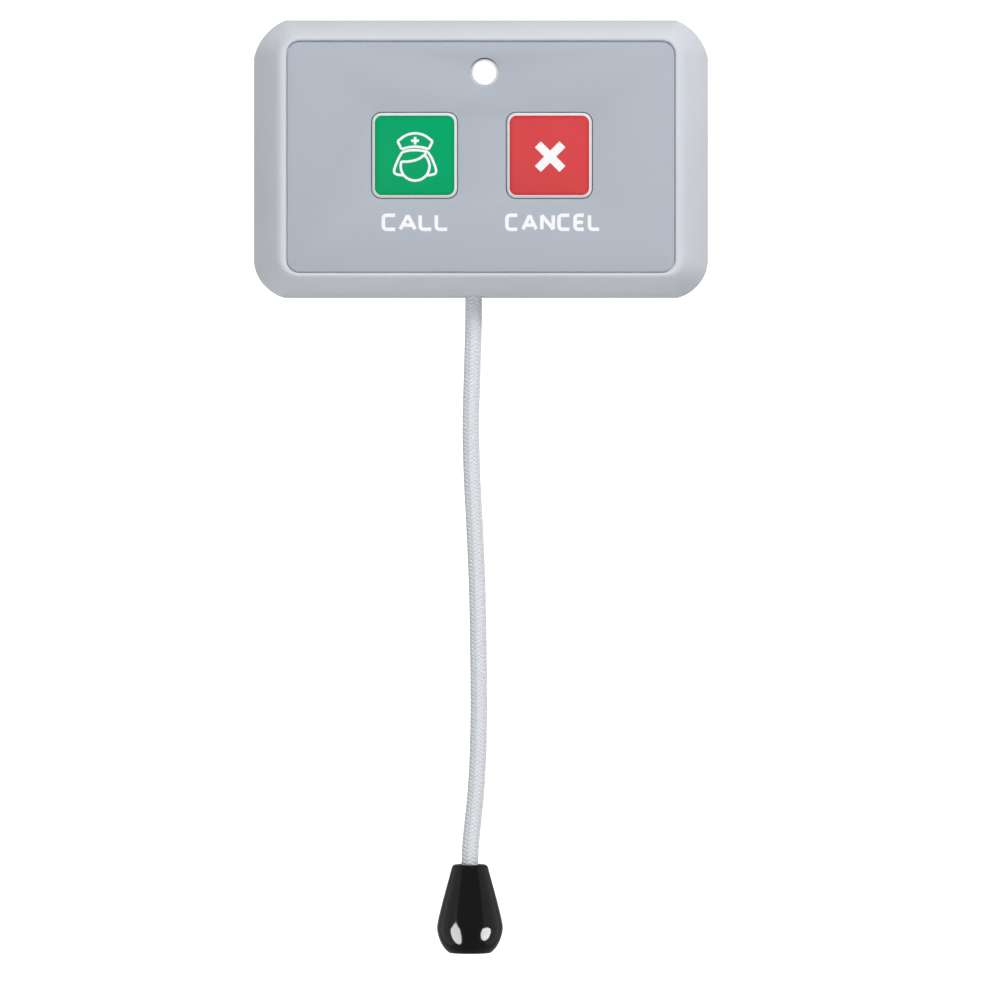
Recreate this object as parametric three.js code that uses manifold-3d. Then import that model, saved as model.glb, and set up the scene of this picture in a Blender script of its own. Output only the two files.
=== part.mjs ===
// Staff call button for a wall: a shallow moulded case with a green call key, a red cancel key,
// a round signal lamp and a braided pull cord that ends in a teardrop knob.
// Millimetres. The origin is the centre of the back face, on the wall. +Z is up, +X is to the
// right of someone who faces the wall, and the front looks along -Y. A depth named "out" is the
// distance from the wall.
import * as THREE from "three";
import { mergeVertices } from "three/addons/utils/BufferGeometryUtils.js";
import Module from "manifold-3d";

const wasm = await Module();
wasm.setup();

// Case
const caseWidth = 86;
const caseHeight = 52.3;
const caseDepth = 17;
const wall = 2;
const bevelDepth = 5.2;
const crestRise = 1.6;
const crestDrop = 0.1;
const bevelShare = 0.6;
const crestShare = 0.92;
const topCorner = { run: 5.9, drop: 7.1, bulge: 1.15 };
const bottomCorner = { run: 5.5, drop: 6.2, bulge: 1.3 };

// Front recess and the printed film in it
const recessWidth = 73.5;
const recessHeight = 43.9;
const recessRadius = 2.6;
const recessDepth = 0.8;
const frontWall = 1.8;
const hollowLead = 0.6;
const filmThickness = 0.4;
const filmGap = 0.3;

// Keys and their switches
const keySize = 16.1;
const keyRadius = 1.8;
const keyPitch = 25.4;
const keyCentreX = 0.2;
const keyRise = 0.25;
const keyProud = 0.3;
const keyEdge = 0.35;
const keySkin = 1.3;
const keyWindowGap = 0.15;
const keyShelfGap = 0.3;
const keyFlangeLip = 0.9;
const keyFlangeThickness = 0.9;
const keyStemRadius = 2;
const keyStemGap = 0.15;
const keyRibThickness = 1;
const keyRibDepth = 1;
const keyTravel = 0.5;
const switchSize = 6.2;
const switchHeight = 3.5;
const switchCorner = 0.4;
const switchLid = { inset: 0.3, height: 0.4 };
const switchLeg = { reach: 0.9, pitch: 4.4, width: 0.7, height: 0.8 };
const plungerRadius = 1.7;
const plungerLength = 1.4;
const plungerProud = 0.5;
const plungerClearance = 0.15;
const plungerFloorGap = 0.3;

// Signal lamp
const lampX = 0.7;
const lampTopInset = 5.95;
const lampRadius = 2.45;
const lampFlangeRadius = 2.9;
const lampFlangeThickness = 1;
const lampHoleRadius = 2.8;
const domeSteps = 5;

// Circuit board, on posts that stand on the front wall
const boardLeftInset = 10.4;
const boardTopInset = 5.15;
const boardBottomRise = 17.15;
const boardTabDrop = 5;
const boardBatteryGap = 1.75;
const boardOut = 7;
const boardThickness = 1.6;
const boardNotchHeight = 3.6;
const boardNotchGap = 0.5;
const boardPostInset = 2.7;
const boardPostRadius = 2.2;
const boardHoleRadius = 1.2;
const boardScrewRadius = 0.95;
const boardScrewPilotRadius = 1.1;
const boardScrewHeadRadius = 2;
const boardScrewHeadHeight = 1.3;
const boardScrewLength = 5.5;
const boardPegRadius = 1;
const boardPegHeight = 1.2;

// Rear cover, let into the back of the case
const coverThickness = 2.2;
const coverFit = 0.25;
const coverPadGap = 0.3;
const coverPadRadius = 2;
const coverPads = [
  [-19, 14.5],
  [14, 14.5],
];
const keyholeSpacing = 44;
const keyholeRise = 2.5;
const keyholeHeadRadius = 4.2;
const keyholeSlotWidth = 4.5;
const keyholeSlotLength = 8;
const bossInsetX = 6.8;
const bossBayRise = 2.35;
const bossRadius = 3;
const caseScrewRadius = 1.2;
const caseScrewPilotRadius = 1.35;
const caseScrewHoleRadius = 1.5;
const caseScrewHeadRadius = 2.4;
const caseScrewHeadHeight = 1.3;
const caseScrewHeadInset = 0.2;
const caseScrewHeadGap = 0.3;
const caseScrewLength = 8.5;
const pilotExtra = 0.8;

// Battery bay at the right-hand end
const batterySideInset = 8.5;
const batteryZ = 0.6;
const batteryRadius = 5.15;
const batteryCanLength = 27.4;
const batteryNubRadius = 2;
const batteryNubHeight = 1.1;
const batteryGap = 0.3;
const cradlePitch = 17;
const cradleBack = 1;
const batteryRestWidth = 8;
const batteryRestDrop = 2;
const batteryEdge = 0.4;
const ribThickness = 1.4;
const bayHalfWidth = 5.9;
const contactThickness = 0.4;
const contactGap = 0.2;
const contactWidth = 8;
const contactDepth = 7;
const contactSpringHeight = 1.7;
const contactSpringWire = 0.3;
const contactSpringTurns = 2;
const contactSpringRadius = 3;
const contactSpringTipRadius = 1.6;
const contactSpringSink = 0.09;

// Pull cord and the slider that it hangs from
const cordX = -1.42;
const cordOut = 8;
const cordRadius = 1.65;
const cordSides = 8;
const cordStepDiameters = 2.5;
const cordHoleGap = 0.35;
const cordMouthRadius = 2.9;
const cordMouthDepth = 0.8;
const cordEndGap = 0.3;
const cordTravel = 3;
// The free stretch of the cord as [x, z] points, settled by eye, below its straight start.
const cordRoute = [
  [-1.42, -30],
  [-1.5, -34.3],
  [-1.72, -42],
  [-1.88, -47.6],
  [-1.9, -53.3],
  [-1.68, -60.9],
  [-1.27, -68.5],
  [-0.92, -76.1],
  [-0.65, -83.7],
  [-0.52, -91.3],
  [-0.42, -98.9],
  [-0.42, -106.4],
  [-0.62, -114],
  [-1.02, -120.7],
  [-1.6, -126.3],
  [-1.98, -130.3],
];
const sliderWidth = 12;
const sliderDepth = 9.2;
const sliderHeight = 6.6;
const sliderEdge = 0.8;
const sliderGap = 0.3;
const pocketRadius = 3.9;
const pocketDepth = 3.7;
const pocketGap = 0.3;
const knotRadius = 3.5;
const knotHeight = 5.6;
const knotFullness = 0.8;
const springSeatRadius = 4.2;
const springSeatHeight = 1.3;
const springRadius = 2.9;
const springWire = 0.5;
const springTurns = 4;
const springGap = 0.15;
const springSlack = 0.4;
const guideThickness = 1.6;
const guideKeyGap = 0.5;
const guideStop = 1.2;
const backStopInset = 1;

// Pull switch, worked by an arm of the slider
const armThickness = 1.5;
const armWidth = 2.4;
const armOut = 5.4;
const armReach = 4.6;
const snapLength = 12.8;
const snapDepth = 5.8;
const snapHeight = 6.5;
const snapLeft = 8.6;
const snapLug = { width: 1.8, thickness: 0.6, height: 0.8, pitch: 4.4 };
const snapWellDepth = 2;
const snapHolePitch = 6.5;
const snapHoleDrop = 4.4;
const snapHoleRadius = 1.15;
const snapPinRadius = 0.95;
const snapPinLength = 5.3;
const snapShoulderRadius = 1.9;
const leverArm = 14.5;
const leverPivotInset = 0.5;
const leverPivotRise = 0.5;
const leverThickness = 0.3;
const leverWidth = 2.6;
const leverRestDegrees = 13;
const leverGap = 0.3;
const buttonReach = 4;
const buttonLength = 1.6;
const buttonWidth = 2;

// Parts on the board
const chip = { fromLeft: 7.8, fromBottom: 6.5, width: 4, length: 5, lift: 0.15, height: 1.6 };
const chipLeg = { span: 6, pitch: 1.27, width: 0.4, height: 0.7 };
const oscillator = { fromLeft: 7.6, fromBottom: 15.5, radius: 4, height: 3.2, lip: 0.6 };
const antennaX = -9;
const antennaFromTop = 4.2;
const antennaLift = 0.3;
const antennaTurns = 7;
const antennaPitch = 1.7;
const antennaFrontGap = 0.7;
const antennaWire = 0.4;
const capacitorRadius = 2;
const capacitorFrontGap = 0.8;
const capacitorBase = { size: 4.3, radius: 0.6, height: 0.7 };
const capacitorFromTop = 6.5;
const capacitorFromLeft = 12.6;
const capacitorFromRight = 7.6;
const resistorSize = { length: 3.2, width: 1.6, height: 0.6 };
const resistorFromTop = 8.4;
const resistorFromLeft = 6.6;
const resistorsAtLamp = [6.3, 10.3];

// Knob
const knobX = -2.1;
const knobTop = -133.8;
const knobHeight = 16.8;
const knobTopRadius = 3.3;
const knobEdge = 0.5;
const knobBellyRadius = 6.25;
const knobBellyDrop = 11.9;
const knobRimRadius = 3.9;
const knobRecessRadius = 3.4;
const knobRecessDepth = 8.2;
const knobFlankHandle = 1.3;
const knobBellyHandle = 2.7;
const knobRimHandle = 1.2;
const knobLip = 0.3;
const knobCordLead = 3;
const lowerKnotRadius = 3;
const lowerKnotHeight = 5;

// Facets
const cornerSteps = 6;
const ridgeSteps = 4;
const roundSides = 24;
const smallSides = 12;
const coilSteps = 10;
const wireSides = 6;
const knotSteps = 8;

// How far a cut runs past a face, and a joined piece runs into its carrier
const past = 1;
const seam = 0.5;

// Depths and places that follow from the sizes
const bevelTop = caseDepth - crestRise;
const sideDepth = bevelTop - bevelDepth;
const recessFloor = caseDepth - recessDepth;
const frontInner = recessFloor - frontWall;
const filmFace = recessFloor + filmThickness;
const keyFace = filmFace + keyProud;
const boardFace = boardOut + boardThickness;
const switchTop = boardFace + switchHeight;
const switchBoreDepth = keyTravel + plungerLength - plungerProud + plungerFloorGap;
const lampHeight = keyFace - boardFace;
const lampZ = recessHeight / 2 - lampTopInset;
const keyWindow = keySize + 2 * keyWindowGap;
const keyFlange = keyWindow + 2 * keyFlangeLip;
const caseBottom = -caseHeight / 2;
const floorInner = caseBottom + wall;
const cordHoleRadius = cordRadius + cordHoleGap;
const springSeatTop = floorInner + springSeatHeight;
const sliderBottom = springSeatTop + springTurns * springWire + cordTravel + springSlack;
const sliderTop = sliderBottom + sliderHeight;
const knotBottom = sliderTop - pocketDepth + pocketGap;
const knobCeiling = knobTop - knobHeight + knobRecessDepth;
const guideOut = armOut + armWidth / 2 + sliderGap;
const guideTop = keyRise - keyFlange / 2 - guideKeyGap;
const leverRest = THREE.MathUtils.degToRad(leverRestDegrees);
const leverRise = leverArm * Math.sin(leverRest) + (leverThickness / 2) * Math.cos(leverRest);
const snapTop = sliderTop - armThickness - leverGap - leverRise - leverPivotRise;
const leverPivotX = snapLeft + snapLength - leverPivotInset;
const leverPivotZ = snapTop + leverPivotRise;
const batteryX = caseWidth / 2 - batterySideInset;
const batteryOut = (coverThickness + frontInner) / 2;
const batteryLength = batteryCanLength + batteryNubHeight;
const plateTop = batteryLength / 2 + contactGap + contactThickness;
const springPlateBottom = -batteryLength / 2 - contactGap - contactSpringHeight - contactThickness;
const bossZ = batteryZ + plateTop + ribThickness + bossBayRise;
const boardLeft = boardLeftInset - caseWidth / 2;
const boardRight = batteryX - batteryRadius - boardBatteryGap;
const boardBottom = caseBottom + boardBottomRise;
const boardTab = boardBottom - boardTabDrop;
const boardTop = caseHeight / 2 - boardTopInset;
const antennaRadius = (frontInner - boardFace - antennaLift - antennaFrontGap) / 2 - antennaWire;
const resistorXs = [boardLeft + resistorFromLeft, ...resistorsAtLamp.map((step) => lampX + step)];
const capacitorXs = [boardLeft + capacitorFromLeft, boardRight - capacitorFromRight];

// Solids. A plan is drawn as seen from the front, and a slab of it runs from one depth to another.
function solid(geometry) {
  const bare = geometry.clone();
  bare.deleteAttribute("normal");
  bare.deleteAttribute("uv");
  const merged = mergeVertices(bare, 1e-4);
  const made = new wasm.Manifold(
    new wasm.Mesh({
      numProp: 3,
      vertProperties: new Float32Array(merged.attributes.position.array),
      triVerts: new Uint32Array(merged.index.array),
    }),
  );
  return made;
}

function union(parts) {
  return parts.reduce((whole, part) => whole.add(part));
}

function slab(plan, from, to) {
  const shape = plan instanceof THREE.Shape ? plan : new THREE.Shape(plan);
  const geometry = new THREE.ExtrudeGeometry(shape, {
    depth: to - from,
    bevelEnabled: false,
    curveSegments: cornerSteps,
  });
  return solid(geometry.translate(0, 0, from).rotateX(Math.PI / 2));
}

function box(left, right, low, high, from, to) {
  const geometry = new THREE.BoxGeometry(right - left, to - from, high - low);
  return solid(geometry.translate((left + right) / 2, -(from + to) / 2, (low + high) / 2));
}

// A round along the depth, with its radius at the wall side and at the front side.
function peg(x, z, radius, from, to, sides = roundSides, frontRadius = radius) {
  const geometry = new THREE.CylinderGeometry(radius, frontRadius, to - from, sides);
  return solid(geometry.translate(x, -(from + to) / 2, z));
}

function pin(x, z, radius, from, to) {
  return peg(x, z, radius, from, to, smallSides);
}

// A round that stands upright.
function post(x, out, radius, low, high, sides = roundSides, topRadius = radius) {
  const geometry = new THREE.CylinderGeometry(topRadius, radius, high - low, sides);
  return solid(geometry.rotateX(Math.PI / 2).translate(x, -out, (low + high) / 2));
}

// A profile of [radius, height] points turned round an upright axis, or round one along the depth.
function turned(profile, sides, alongDepth = false) {
  const points = profile.map(([radius, height]) => new THREE.Vector2(radius, height));
  const geometry = new THREE.LatheGeometry(points, sides);
  return solid(geometry.rotateX(alongDepth ? Math.PI : Math.PI / 2));
}

function wire(curve, radius, steps, sides) {
  const section = new THREE.Shape();
  for (let side = 0; side < sides; side += 1) {
    const angle = (2 * Math.PI * side) / sides;
    const point = [radius * Math.cos(angle), radius * Math.sin(angle)];
    if (side === 0) section.moveTo(...point);
    else section.lineTo(...point);
  }
  section.closePath();
  return solid(new THREE.ExtrudeGeometry(section, { extrudePath: curve, steps, bevelEnabled: false }));
}

class Helix extends THREE.Curve {
  constructor(radius, rise, turns, endRadius = radius) {
    super();
    Object.assign(this, { radius, rise, turns, endRadius });
  }

  getPoint(share, target = new THREE.Vector3()) {
    const angle = 2 * Math.PI * this.turns * share;
    const radius = this.radius + (this.endRadius - this.radius) * share;
    return target.set(radius * Math.cos(angle), radius * Math.sin(angle), this.rise * share);
  }
}

function coil(radius, rise, turns, wireRadius, endRadius) {
  const steps = Math.round(turns * coilSteps);
  return wire(new Helix(radius, rise, turns, endRadius), wireRadius, steps, wireSides);
}

// Plans
function cornerArc(from, to, bulge) {
  const chord = to.clone().sub(from);
  const half = chord.length() / 2;
  const radius = (half * half + bulge * bulge) / (2 * bulge);
  const along = chord.normalize();
  const outward = new THREE.Vector2(along.y, -along.x);
  const centre = from.clone().add(to).multiplyScalar(0.5).addScaledVector(outward, bulge - radius);
  const swing = Math.asin(half / radius);
  return Array.from({ length: cornerSteps + 1 }, (_, step) => {
    const angle = swing * ((2 * step) / cornerSteps - 1);
    const across = outward.clone().multiplyScalar(radius * Math.cos(angle));
    return centre.clone().add(across).addScaledVector(along, radius * Math.sin(angle));
  });
}

// A four-cornered outline, anticlockwise from the bottom right corner.
function corneredPlan(width, height, bottom, top) {
  const x = width / 2;
  const low = -height / 2;
  const high = height / 2;
  const at = (px, pz) => new THREE.Vector2(px, pz);
  return [
    ...cornerArc(at(x - bottom.run, low), at(x, low + bottom.drop), bottom.bulge),
    ...cornerArc(at(x, high - top.drop), at(x - top.run, high), top.bulge),
    ...cornerArc(at(top.run - x, high), at(-x, high - top.drop), top.bulge),
    ...cornerArc(at(-x, low + bottom.drop), at(bottom.run - x, low), bottom.bulge),
  ];
}

function roundCorner(radius) {
  return { run: radius, drop: radius, bulge: radius * (1 - Math.SQRT1_2) };
}

function insetCorner(corner, inset) {
  const shrink = (2 - Math.SQRT2) * inset;
  return { run: corner.run - shrink, drop: corner.drop - shrink, bulge: corner.bulge };
}

function casePlan(inset) {
  return corneredPlan(
    caseWidth - 2 * inset,
    caseHeight - 2 * inset,
    insetCorner(bottomCorner, inset),
    insetCorner(topCorner, inset),
  );
}

function recessPlan(inset) {
  const corner = roundCorner(Math.max(recessRadius - inset, recessRadius / 4));
  return corneredPlan(recessWidth - 2 * inset, recessHeight - 2 * inset, corner, corner);
}

function squarePlan(size, radius) {
  const corner = roundCorner(radius);
  return corneredPlan(size, size, corner, corner);
}

// A closed skin through rings of matching points, each ring a plan and its depth.
function loft(rings) {
  const count = rings[0].plan.length;
  const positions = rings.flatMap(({ plan, out }) => plan.flatMap((p) => [p.x, p.y, out]));
  const index = [];
  for (let ring = 0; ring + 1 < rings.length; ring += 1) {
    for (let step = 0; step < count; step += 1) {
      const a = ring * count + step;
      const b = ring * count + ((step + 1) % count);
      index.push(a, b, b + count, a, b + count, a + count);
    }
  }
  const last = (rings.length - 1) * count;
  for (const [a, b, c] of THREE.ShapeUtils.triangulateShape(rings[0].plan, [])) index.push(a, c, b);
  for (const [a, b, c] of THREE.ShapeUtils.triangulateShape(rings.at(-1).plan, [])) {
    index.push(last + a, last + b, last + c);
  }
  const geometry = new THREE.BufferGeometry();
  geometry.setAttribute("position", new THREE.Float32BufferAttribute(positions, 3));
  geometry.setIndex(index);
  return solid(geometry.rotateX(Math.PI / 2));
}

// A ring that lies part of the way from one plan to another.
function between(outer, inner, share, out) {
  return { plan: outer.map((point, i) => point.clone().lerp(inner[i], share)), out };
}

// Where repeated features stand
const keyXs = [keyCentreX - keyPitch / 2, keyCentreX + keyPitch / 2];
const bossPlaces = [-1, 1].flatMap((sx) =>
  [-1, 1].map((sz) => [sx * (caseWidth / 2 - bossInsetX), sz * bossZ]),
);
const boardScrewPlaces = [
  [boardLeft + boardPostInset, boardBottom + boardPostInset],
  [boardRight - boardPostInset, boardTop - boardPostInset],
];
const boardPegPlaces = [
  [boardLeft + boardPostInset, boardTop - boardPostInset],
  [boardRight - boardPostInset, boardTab + boardPostInset],
];
const boardPosts = [...boardScrewPlaces, ...boardPegPlaces];
const snapPinPlaces = [-1, 1].map((side) => [
  snapLeft + snapLength / 2 + (side * snapHolePitch) / 2,
  snapTop - snapHoleDrop,
]);
const snapFront = armOut + snapDepth / 2;

// Front housing
function housingOuter() {
  const outer = casePlan(0);
  const inner = recessPlan(0);
  const crestControl = (bevelShare * (caseDepth - sideDepth)) / bevelDepth;
  const ridge = new THREE.QuadraticBezierCurve(
    new THREE.Vector2(bevelShare, bevelTop),
    new THREE.Vector2(crestControl, caseDepth),
    new THREE.Vector2(crestShare, caseDepth),
  );
  return loft([
    between(outer, inner, 0, 0),
    between(outer, inner, 0, sideDepth),
    ...ridge.getPoints(ridgeSteps).map((p) => between(outer, inner, p.x, p.y)),
    between(outer, inner, 1, caseDepth - crestDrop),
    between(outer, inner, 1, recessFloor),
  ]);
}

function housingHollow() {
  const outer = casePlan(wall);
  const inner = recessPlan(wall);
  const start = sideDepth - hollowLead;
  const share = (bevelShare * (frontInner - start)) / bevelDepth;
  return loft([
    between(outer, inner, 0, -past),
    between(outer, inner, 0, start),
    between(outer, inner, share, frontInner),
  ]);
}

function movedPlan(plan, x, z) {
  return plan.map((point) => new THREE.Vector2(point.x + x, point.y + z));
}

function keyWindows(from, to) {
  const plan = squarePlan(keyWindow, keyRadius + keyWindowGap);
  return union(keyXs.map((x) => slab(movedPlan(plan, x, keyRise), from, to)));
}

function batteryCradles() {
  const ribs = [-1, 1].map((side) => {
    const z = batteryZ + (side * cradlePitch) / 2;
    return box(
      batteryX - bayHalfWidth,
      batteryX + bayHalfWidth,
      z - ribThickness / 2,
      z + ribThickness / 2,
      batteryOut - cradleBack,
      recessFloor,
    );
  });
  const clear = post(batteryX, batteryOut, batteryRadius + batteryGap, -batteryLength, batteryLength);
  return union(ribs).subtract(clear);
}

function batteryShelves() {
  const left = batteryX - bayHalfWidth;
  const right = batteryX + bayHalfWidth;
  const from = batteryOut - contactDepth / 2;
  const shelf = batteryZ + plateTop;
  const seat = batteryZ + springPlateBottom;
  return union([
    box(left, right, shelf, shelf + ribThickness, from, recessFloor),
    box(left, right, seat - ribThickness, seat, from, recessFloor),
  ]);
}

function sliderGuides() {
  const half = sliderWidth / 2 + sliderGap;
  const stopLow = sliderTop + sliderGap;
  const sides = [-1, 1].map((side) => {
    const inner = cordX + side * half;
    const outer = inner + side * guideThickness;
    const stop = inner - side * guideStop;
    const upright = (a, b, low) =>
      box(Math.min(a, b), Math.max(a, b), low, guideTop, guideOut, recessFloor);
    return upright(inner, outer, caseBottom).add(upright(stop, outer, stopLow));
  });
  return union(sides);
}

function snapMounts() {
  return union(
    snapPinPlaces.flatMap(([x, z]) => [
      pin(x, z, snapShoulderRadius, snapFront, recessFloor),
      pin(x, z, snapPinRadius, snapFront - snapPinLength, recessFloor),
    ]),
  );
}

function housingInside() {
  const bosses = bossPlaces.map(([x, z]) => pin(x, z, bossRadius, coverThickness, recessFloor));
  const posts = boardPosts.map(([x, z]) => pin(x, z, boardPostRadius, boardFace, recessFloor));
  const pegs = boardPegPlaces.map(([x, z]) =>
    pin(x, z, boardPegRadius, boardFace - boardPegHeight, recessFloor),
  );
  return union([
    ...bosses,
    ...posts,
    ...pegs,
    batteryCradles(),
    batteryShelves(),
    sliderGuides(),
    snapMounts(),
    post(cordX, cordOut, springSeatRadius, caseBottom, springSeatTop),
  ]);
}

function cordMouth() {
  const top = caseBottom + cordMouthDepth;
  return post(cordX, cordOut, cordMouthRadius, caseBottom, top, smallSides, cordHoleRadius);
}

function housingHoles() {
  const casePilots = bossPlaces.map(([x, z]) =>
    pin(x, z, caseScrewPilotRadius, 0, caseScrewHeadInset + caseScrewLength + pilotExtra),
  );
  const boardPilotEnd = boardOut + boardScrewLength + pilotExtra;
  const boardPilots = boardScrewPlaces.map(([x, z]) =>
    pin(x, z, boardScrewPilotRadius, boardOut, boardPilotEnd),
  );
  return union([
    ...casePilots,
    ...boardPilots,
    keyWindows(frontInner - past, caseDepth + past),
    peg(lampX, lampZ, lampHoleRadius, frontInner - past, caseDepth + past),
    post(cordX, cordOut, cordHoleRadius, caseBottom - past, springSeatTop + past, smallSides),
    cordMouth(),
  ]);
}

function frontHousing() {
  const outer = housingOuter();
  const shell = outer.subtract(housingHollow());
  return shell.add(housingInside().intersect(outer)).subtract(housingHoles());
}

function faceFilm() {
  return slab(recessPlan(filmGap), recessFloor, filmFace)
    .subtract(keyWindows(recessFloor - past, filmFace + past))
    .subtract(peg(lampX, lampZ, lampHoleRadius, recessFloor - past, filmFace + past));
}

// Keys and tactile switches, each about the middle of its key, with depths from the wall
function key() {
  const radius = keyRadius;
  const shelf = frontInner - keyShelfGap;
  const edge = squarePlan(keySize - 2 * keyEdge, radius - keyEdge);
  const cap = loft([
    { plan: squarePlan(keySize, radius), out: shelf - keyFlangeThickness },
    { plan: squarePlan(keySize, radius), out: keyFace - keyEdge },
    { plan: edge, out: keyFace },
  ]);
  const flange = slab(squarePlan(keyFlange, radius + keyFlangeLip), shelf - keyFlangeThickness, shelf);
  const inside = keySize - 2 * keySkin;
  const hollow = slab(squarePlan(inside, radius), 0, keyFace - keySkin);
  const stemEnd = switchTop + plungerProud + keyStemGap;
  const stem = pin(0, 0, keyStemRadius, stemEnd, keyFace - seam);
  const ribs = [0, 1].map((turn) => {
    const long = (inside + seam) / 2;
    const thin = keyRibThickness / 2;
    const [x, z] = turn ? [thin, long] : [long, thin];
    return box(-x, x, -z, z, keyFace - keySkin - keyRibDepth, keyFace - seam);
  });
  return union([cap.add(flange).subtract(hollow), stem, ...ribs]);
}

function tactileSwitch() {
  const half = switchSize / 2;
  const boreRadius = plungerRadius + plungerClearance;
  const bore = pin(0, 0, boreRadius, switchTop - switchBoreDepth, switchTop + past);
  const tip = half + switchLeg.reach;
  const legs = [-1, 1].map((side) => {
    const z = (side * switchLeg.pitch) / 2;
    const thin = switchLeg.width / 2;
    return box(-tip, tip, z - thin, z + thin, boardFace, boardFace + switchLeg.height);
  });
  const body = slab(squarePlan(switchSize, switchCorner), boardFace, switchTop - switchLid.height);
  const lid = slab(squarePlan(switchSize - 2 * switchLid.inset, switchCorner), boardFace, switchTop);
  return union([body, lid, ...legs]).subtract(bore);
}

function switchPlunger() {
  const top = switchTop + plungerProud;
  return pin(0, 0, plungerRadius, top - plungerLength, top);
}

// Lamp, turned round the depth axis, from the board face
function lamp() {
  const shoulder = lampHeight - lampRadius;
  const dome = Array.from({ length: domeSteps + 1 }, (_, step) => {
    const angle = (step / domeSteps) * (Math.PI / 2);
    const radius = step === domeSteps ? 0 : lampRadius * Math.cos(angle);
    return [radius, shoulder + lampRadius * Math.sin(angle)];
  });
  const profile = [
    [0, 0],
    [lampFlangeRadius, 0],
    [lampFlangeRadius, lampFlangeThickness],
    [lampRadius, lampFlangeThickness],
    ...dome,
  ];
  return turned(profile, roundSides, true);
}

// Circuit board
function circuitBoard() {
  const plan = new THREE.Shape();
  const notchHalf = sliderWidth / 2 + sliderGap + guideThickness + boardNotchGap;
  plan.moveTo(boardLeft, boardBottom);
  plan.lineTo(cordX - notchHalf, boardBottom);
  plan.lineTo(cordX - notchHalf, boardBottom + boardNotchHeight);
  plan.lineTo(cordX + notchHalf, boardBottom + boardNotchHeight);
  plan.lineTo(cordX + notchHalf, boardTab);
  plan.lineTo(boardRight, boardTab);
  plan.lineTo(boardRight, boardTop);
  plan.lineTo(boardLeft, boardTop);
  plan.closePath();
  const holes = boardPosts.map(([x, z]) =>
    pin(x, z, boardHoleRadius, boardOut - past, boardFace + past),
  );
  return slab(plan, boardOut, boardFace).subtract(union(holes));
}

function boardScrew() {
  return peg(0, 0, boardScrewHeadRadius, boardOut - boardScrewHeadHeight, boardOut, smallSides).add(
    peg(0, 0, boardScrewRadius, boardOut - seam, boardOut + boardScrewLength, smallSides),
  );
}

function controllerChip() {
  const x = chip.width / 2;
  const z = chip.length / 2;
  const legs = [-1.5, -0.5, 0.5, 1.5].map((step) => {
    const low = step * chipLeg.pitch - chipLeg.width / 2;
    const tip = chipLeg.span / 2;
    return box(-tip, tip, low, low + chipLeg.width, boardFace, boardFace + chipLeg.height);
  });
  return union([box(-x, x, -z, z, boardFace + chip.lift, boardFace + chip.height), ...legs]);
}

function oscillatorCan() {
  const { radius, lip, height } = oscillator;
  const rim = peg(0, 0, radius + lip, boardFace, boardFace + lip);
  return rim.add(peg(0, 0, radius, boardFace, boardFace + height));
}

function antennaCoil() {
  const length = antennaTurns * antennaPitch;
  const middle = boardFace + antennaRadius + antennaWire + antennaLift;
  const turns = new THREE.Curve();
  turns.getPoint = (share, target = new THREE.Vector3()) => {
    const angle = 2 * Math.PI * antennaTurns * share;
    const x = length * (share - 0.5);
    return target.set(x, -middle + antennaRadius * Math.cos(angle), antennaRadius * Math.sin(angle));
  };
  const start = turns.getPoint(0);
  const foot = peg(start.x, start.z, antennaWire, boardFace, -start.y, wireSides);
  return wire(turns, antennaWire, antennaTurns * coilSteps, wireSides).add(foot);
}

function capacitor() {
  const { size, radius, height } = capacitorBase;
  return peg(0, 0, capacitorRadius, boardFace, frontInner - capacitorFrontGap, smallSides).add(
    slab(squarePlan(size, radius), boardFace, boardFace + height),
  );
}

function resistor() {
  const x = resistorSize.length / 2;
  const z = resistorSize.width / 2;
  return box(-x, x, -z, z, boardFace, boardFace + resistorSize.height);
}

// Battery and its contacts, upright in the bay
function battery() {
  const low = -batteryLength / 2;
  const high = low + batteryCanLength;
  return turned(
    [
      [0, low],
      [batteryRadius - batteryEdge, low],
      [batteryRadius, low + batteryEdge],
      [batteryRadius, high - batteryEdge],
      [batteryRadius - batteryEdge, high],
      [batteryNubRadius, high],
      [batteryNubRadius, high + batteryNubHeight],
      [0, high + batteryNubHeight],
    ],
    roundSides,
  );
}

function contactPlate() {
  const half = contactWidth / 2;
  return box(-half, half, plateTop - contactThickness, plateTop, -contactDepth / 2, contactDepth / 2);
}

function contactSpring() {
  const half = contactWidth / 2;
  const low = springPlateBottom;
  const plate = box(-half, half, low, low + contactThickness, -contactDepth / 2, contactDepth / 2);
  const rise = contactSpringHeight - 2 * contactSpringWire;
  const radius = contactSpringRadius;
  const turns = coil(radius, rise, contactSpringTurns, contactSpringWire, contactSpringTipRadius);
  const start = low + contactThickness + contactSpringWire - contactSpringSink;
  return plate.add(turns.translate([0, 0, start]));
}

// Rear cover
function keyhole(x) {
  const entry = peg(x, keyholeRise, keyholeHeadRadius, -past, coverThickness + past);
  const top = keyholeRise + keyholeSlotLength;
  const half = keyholeSlotWidth / 2;
  const slot = box(x - half, x + half, keyholeRise, top, -past, coverThickness + past);
  return union([entry, slot, peg(x, top, half, -past, coverThickness + past)]);
}

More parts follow.
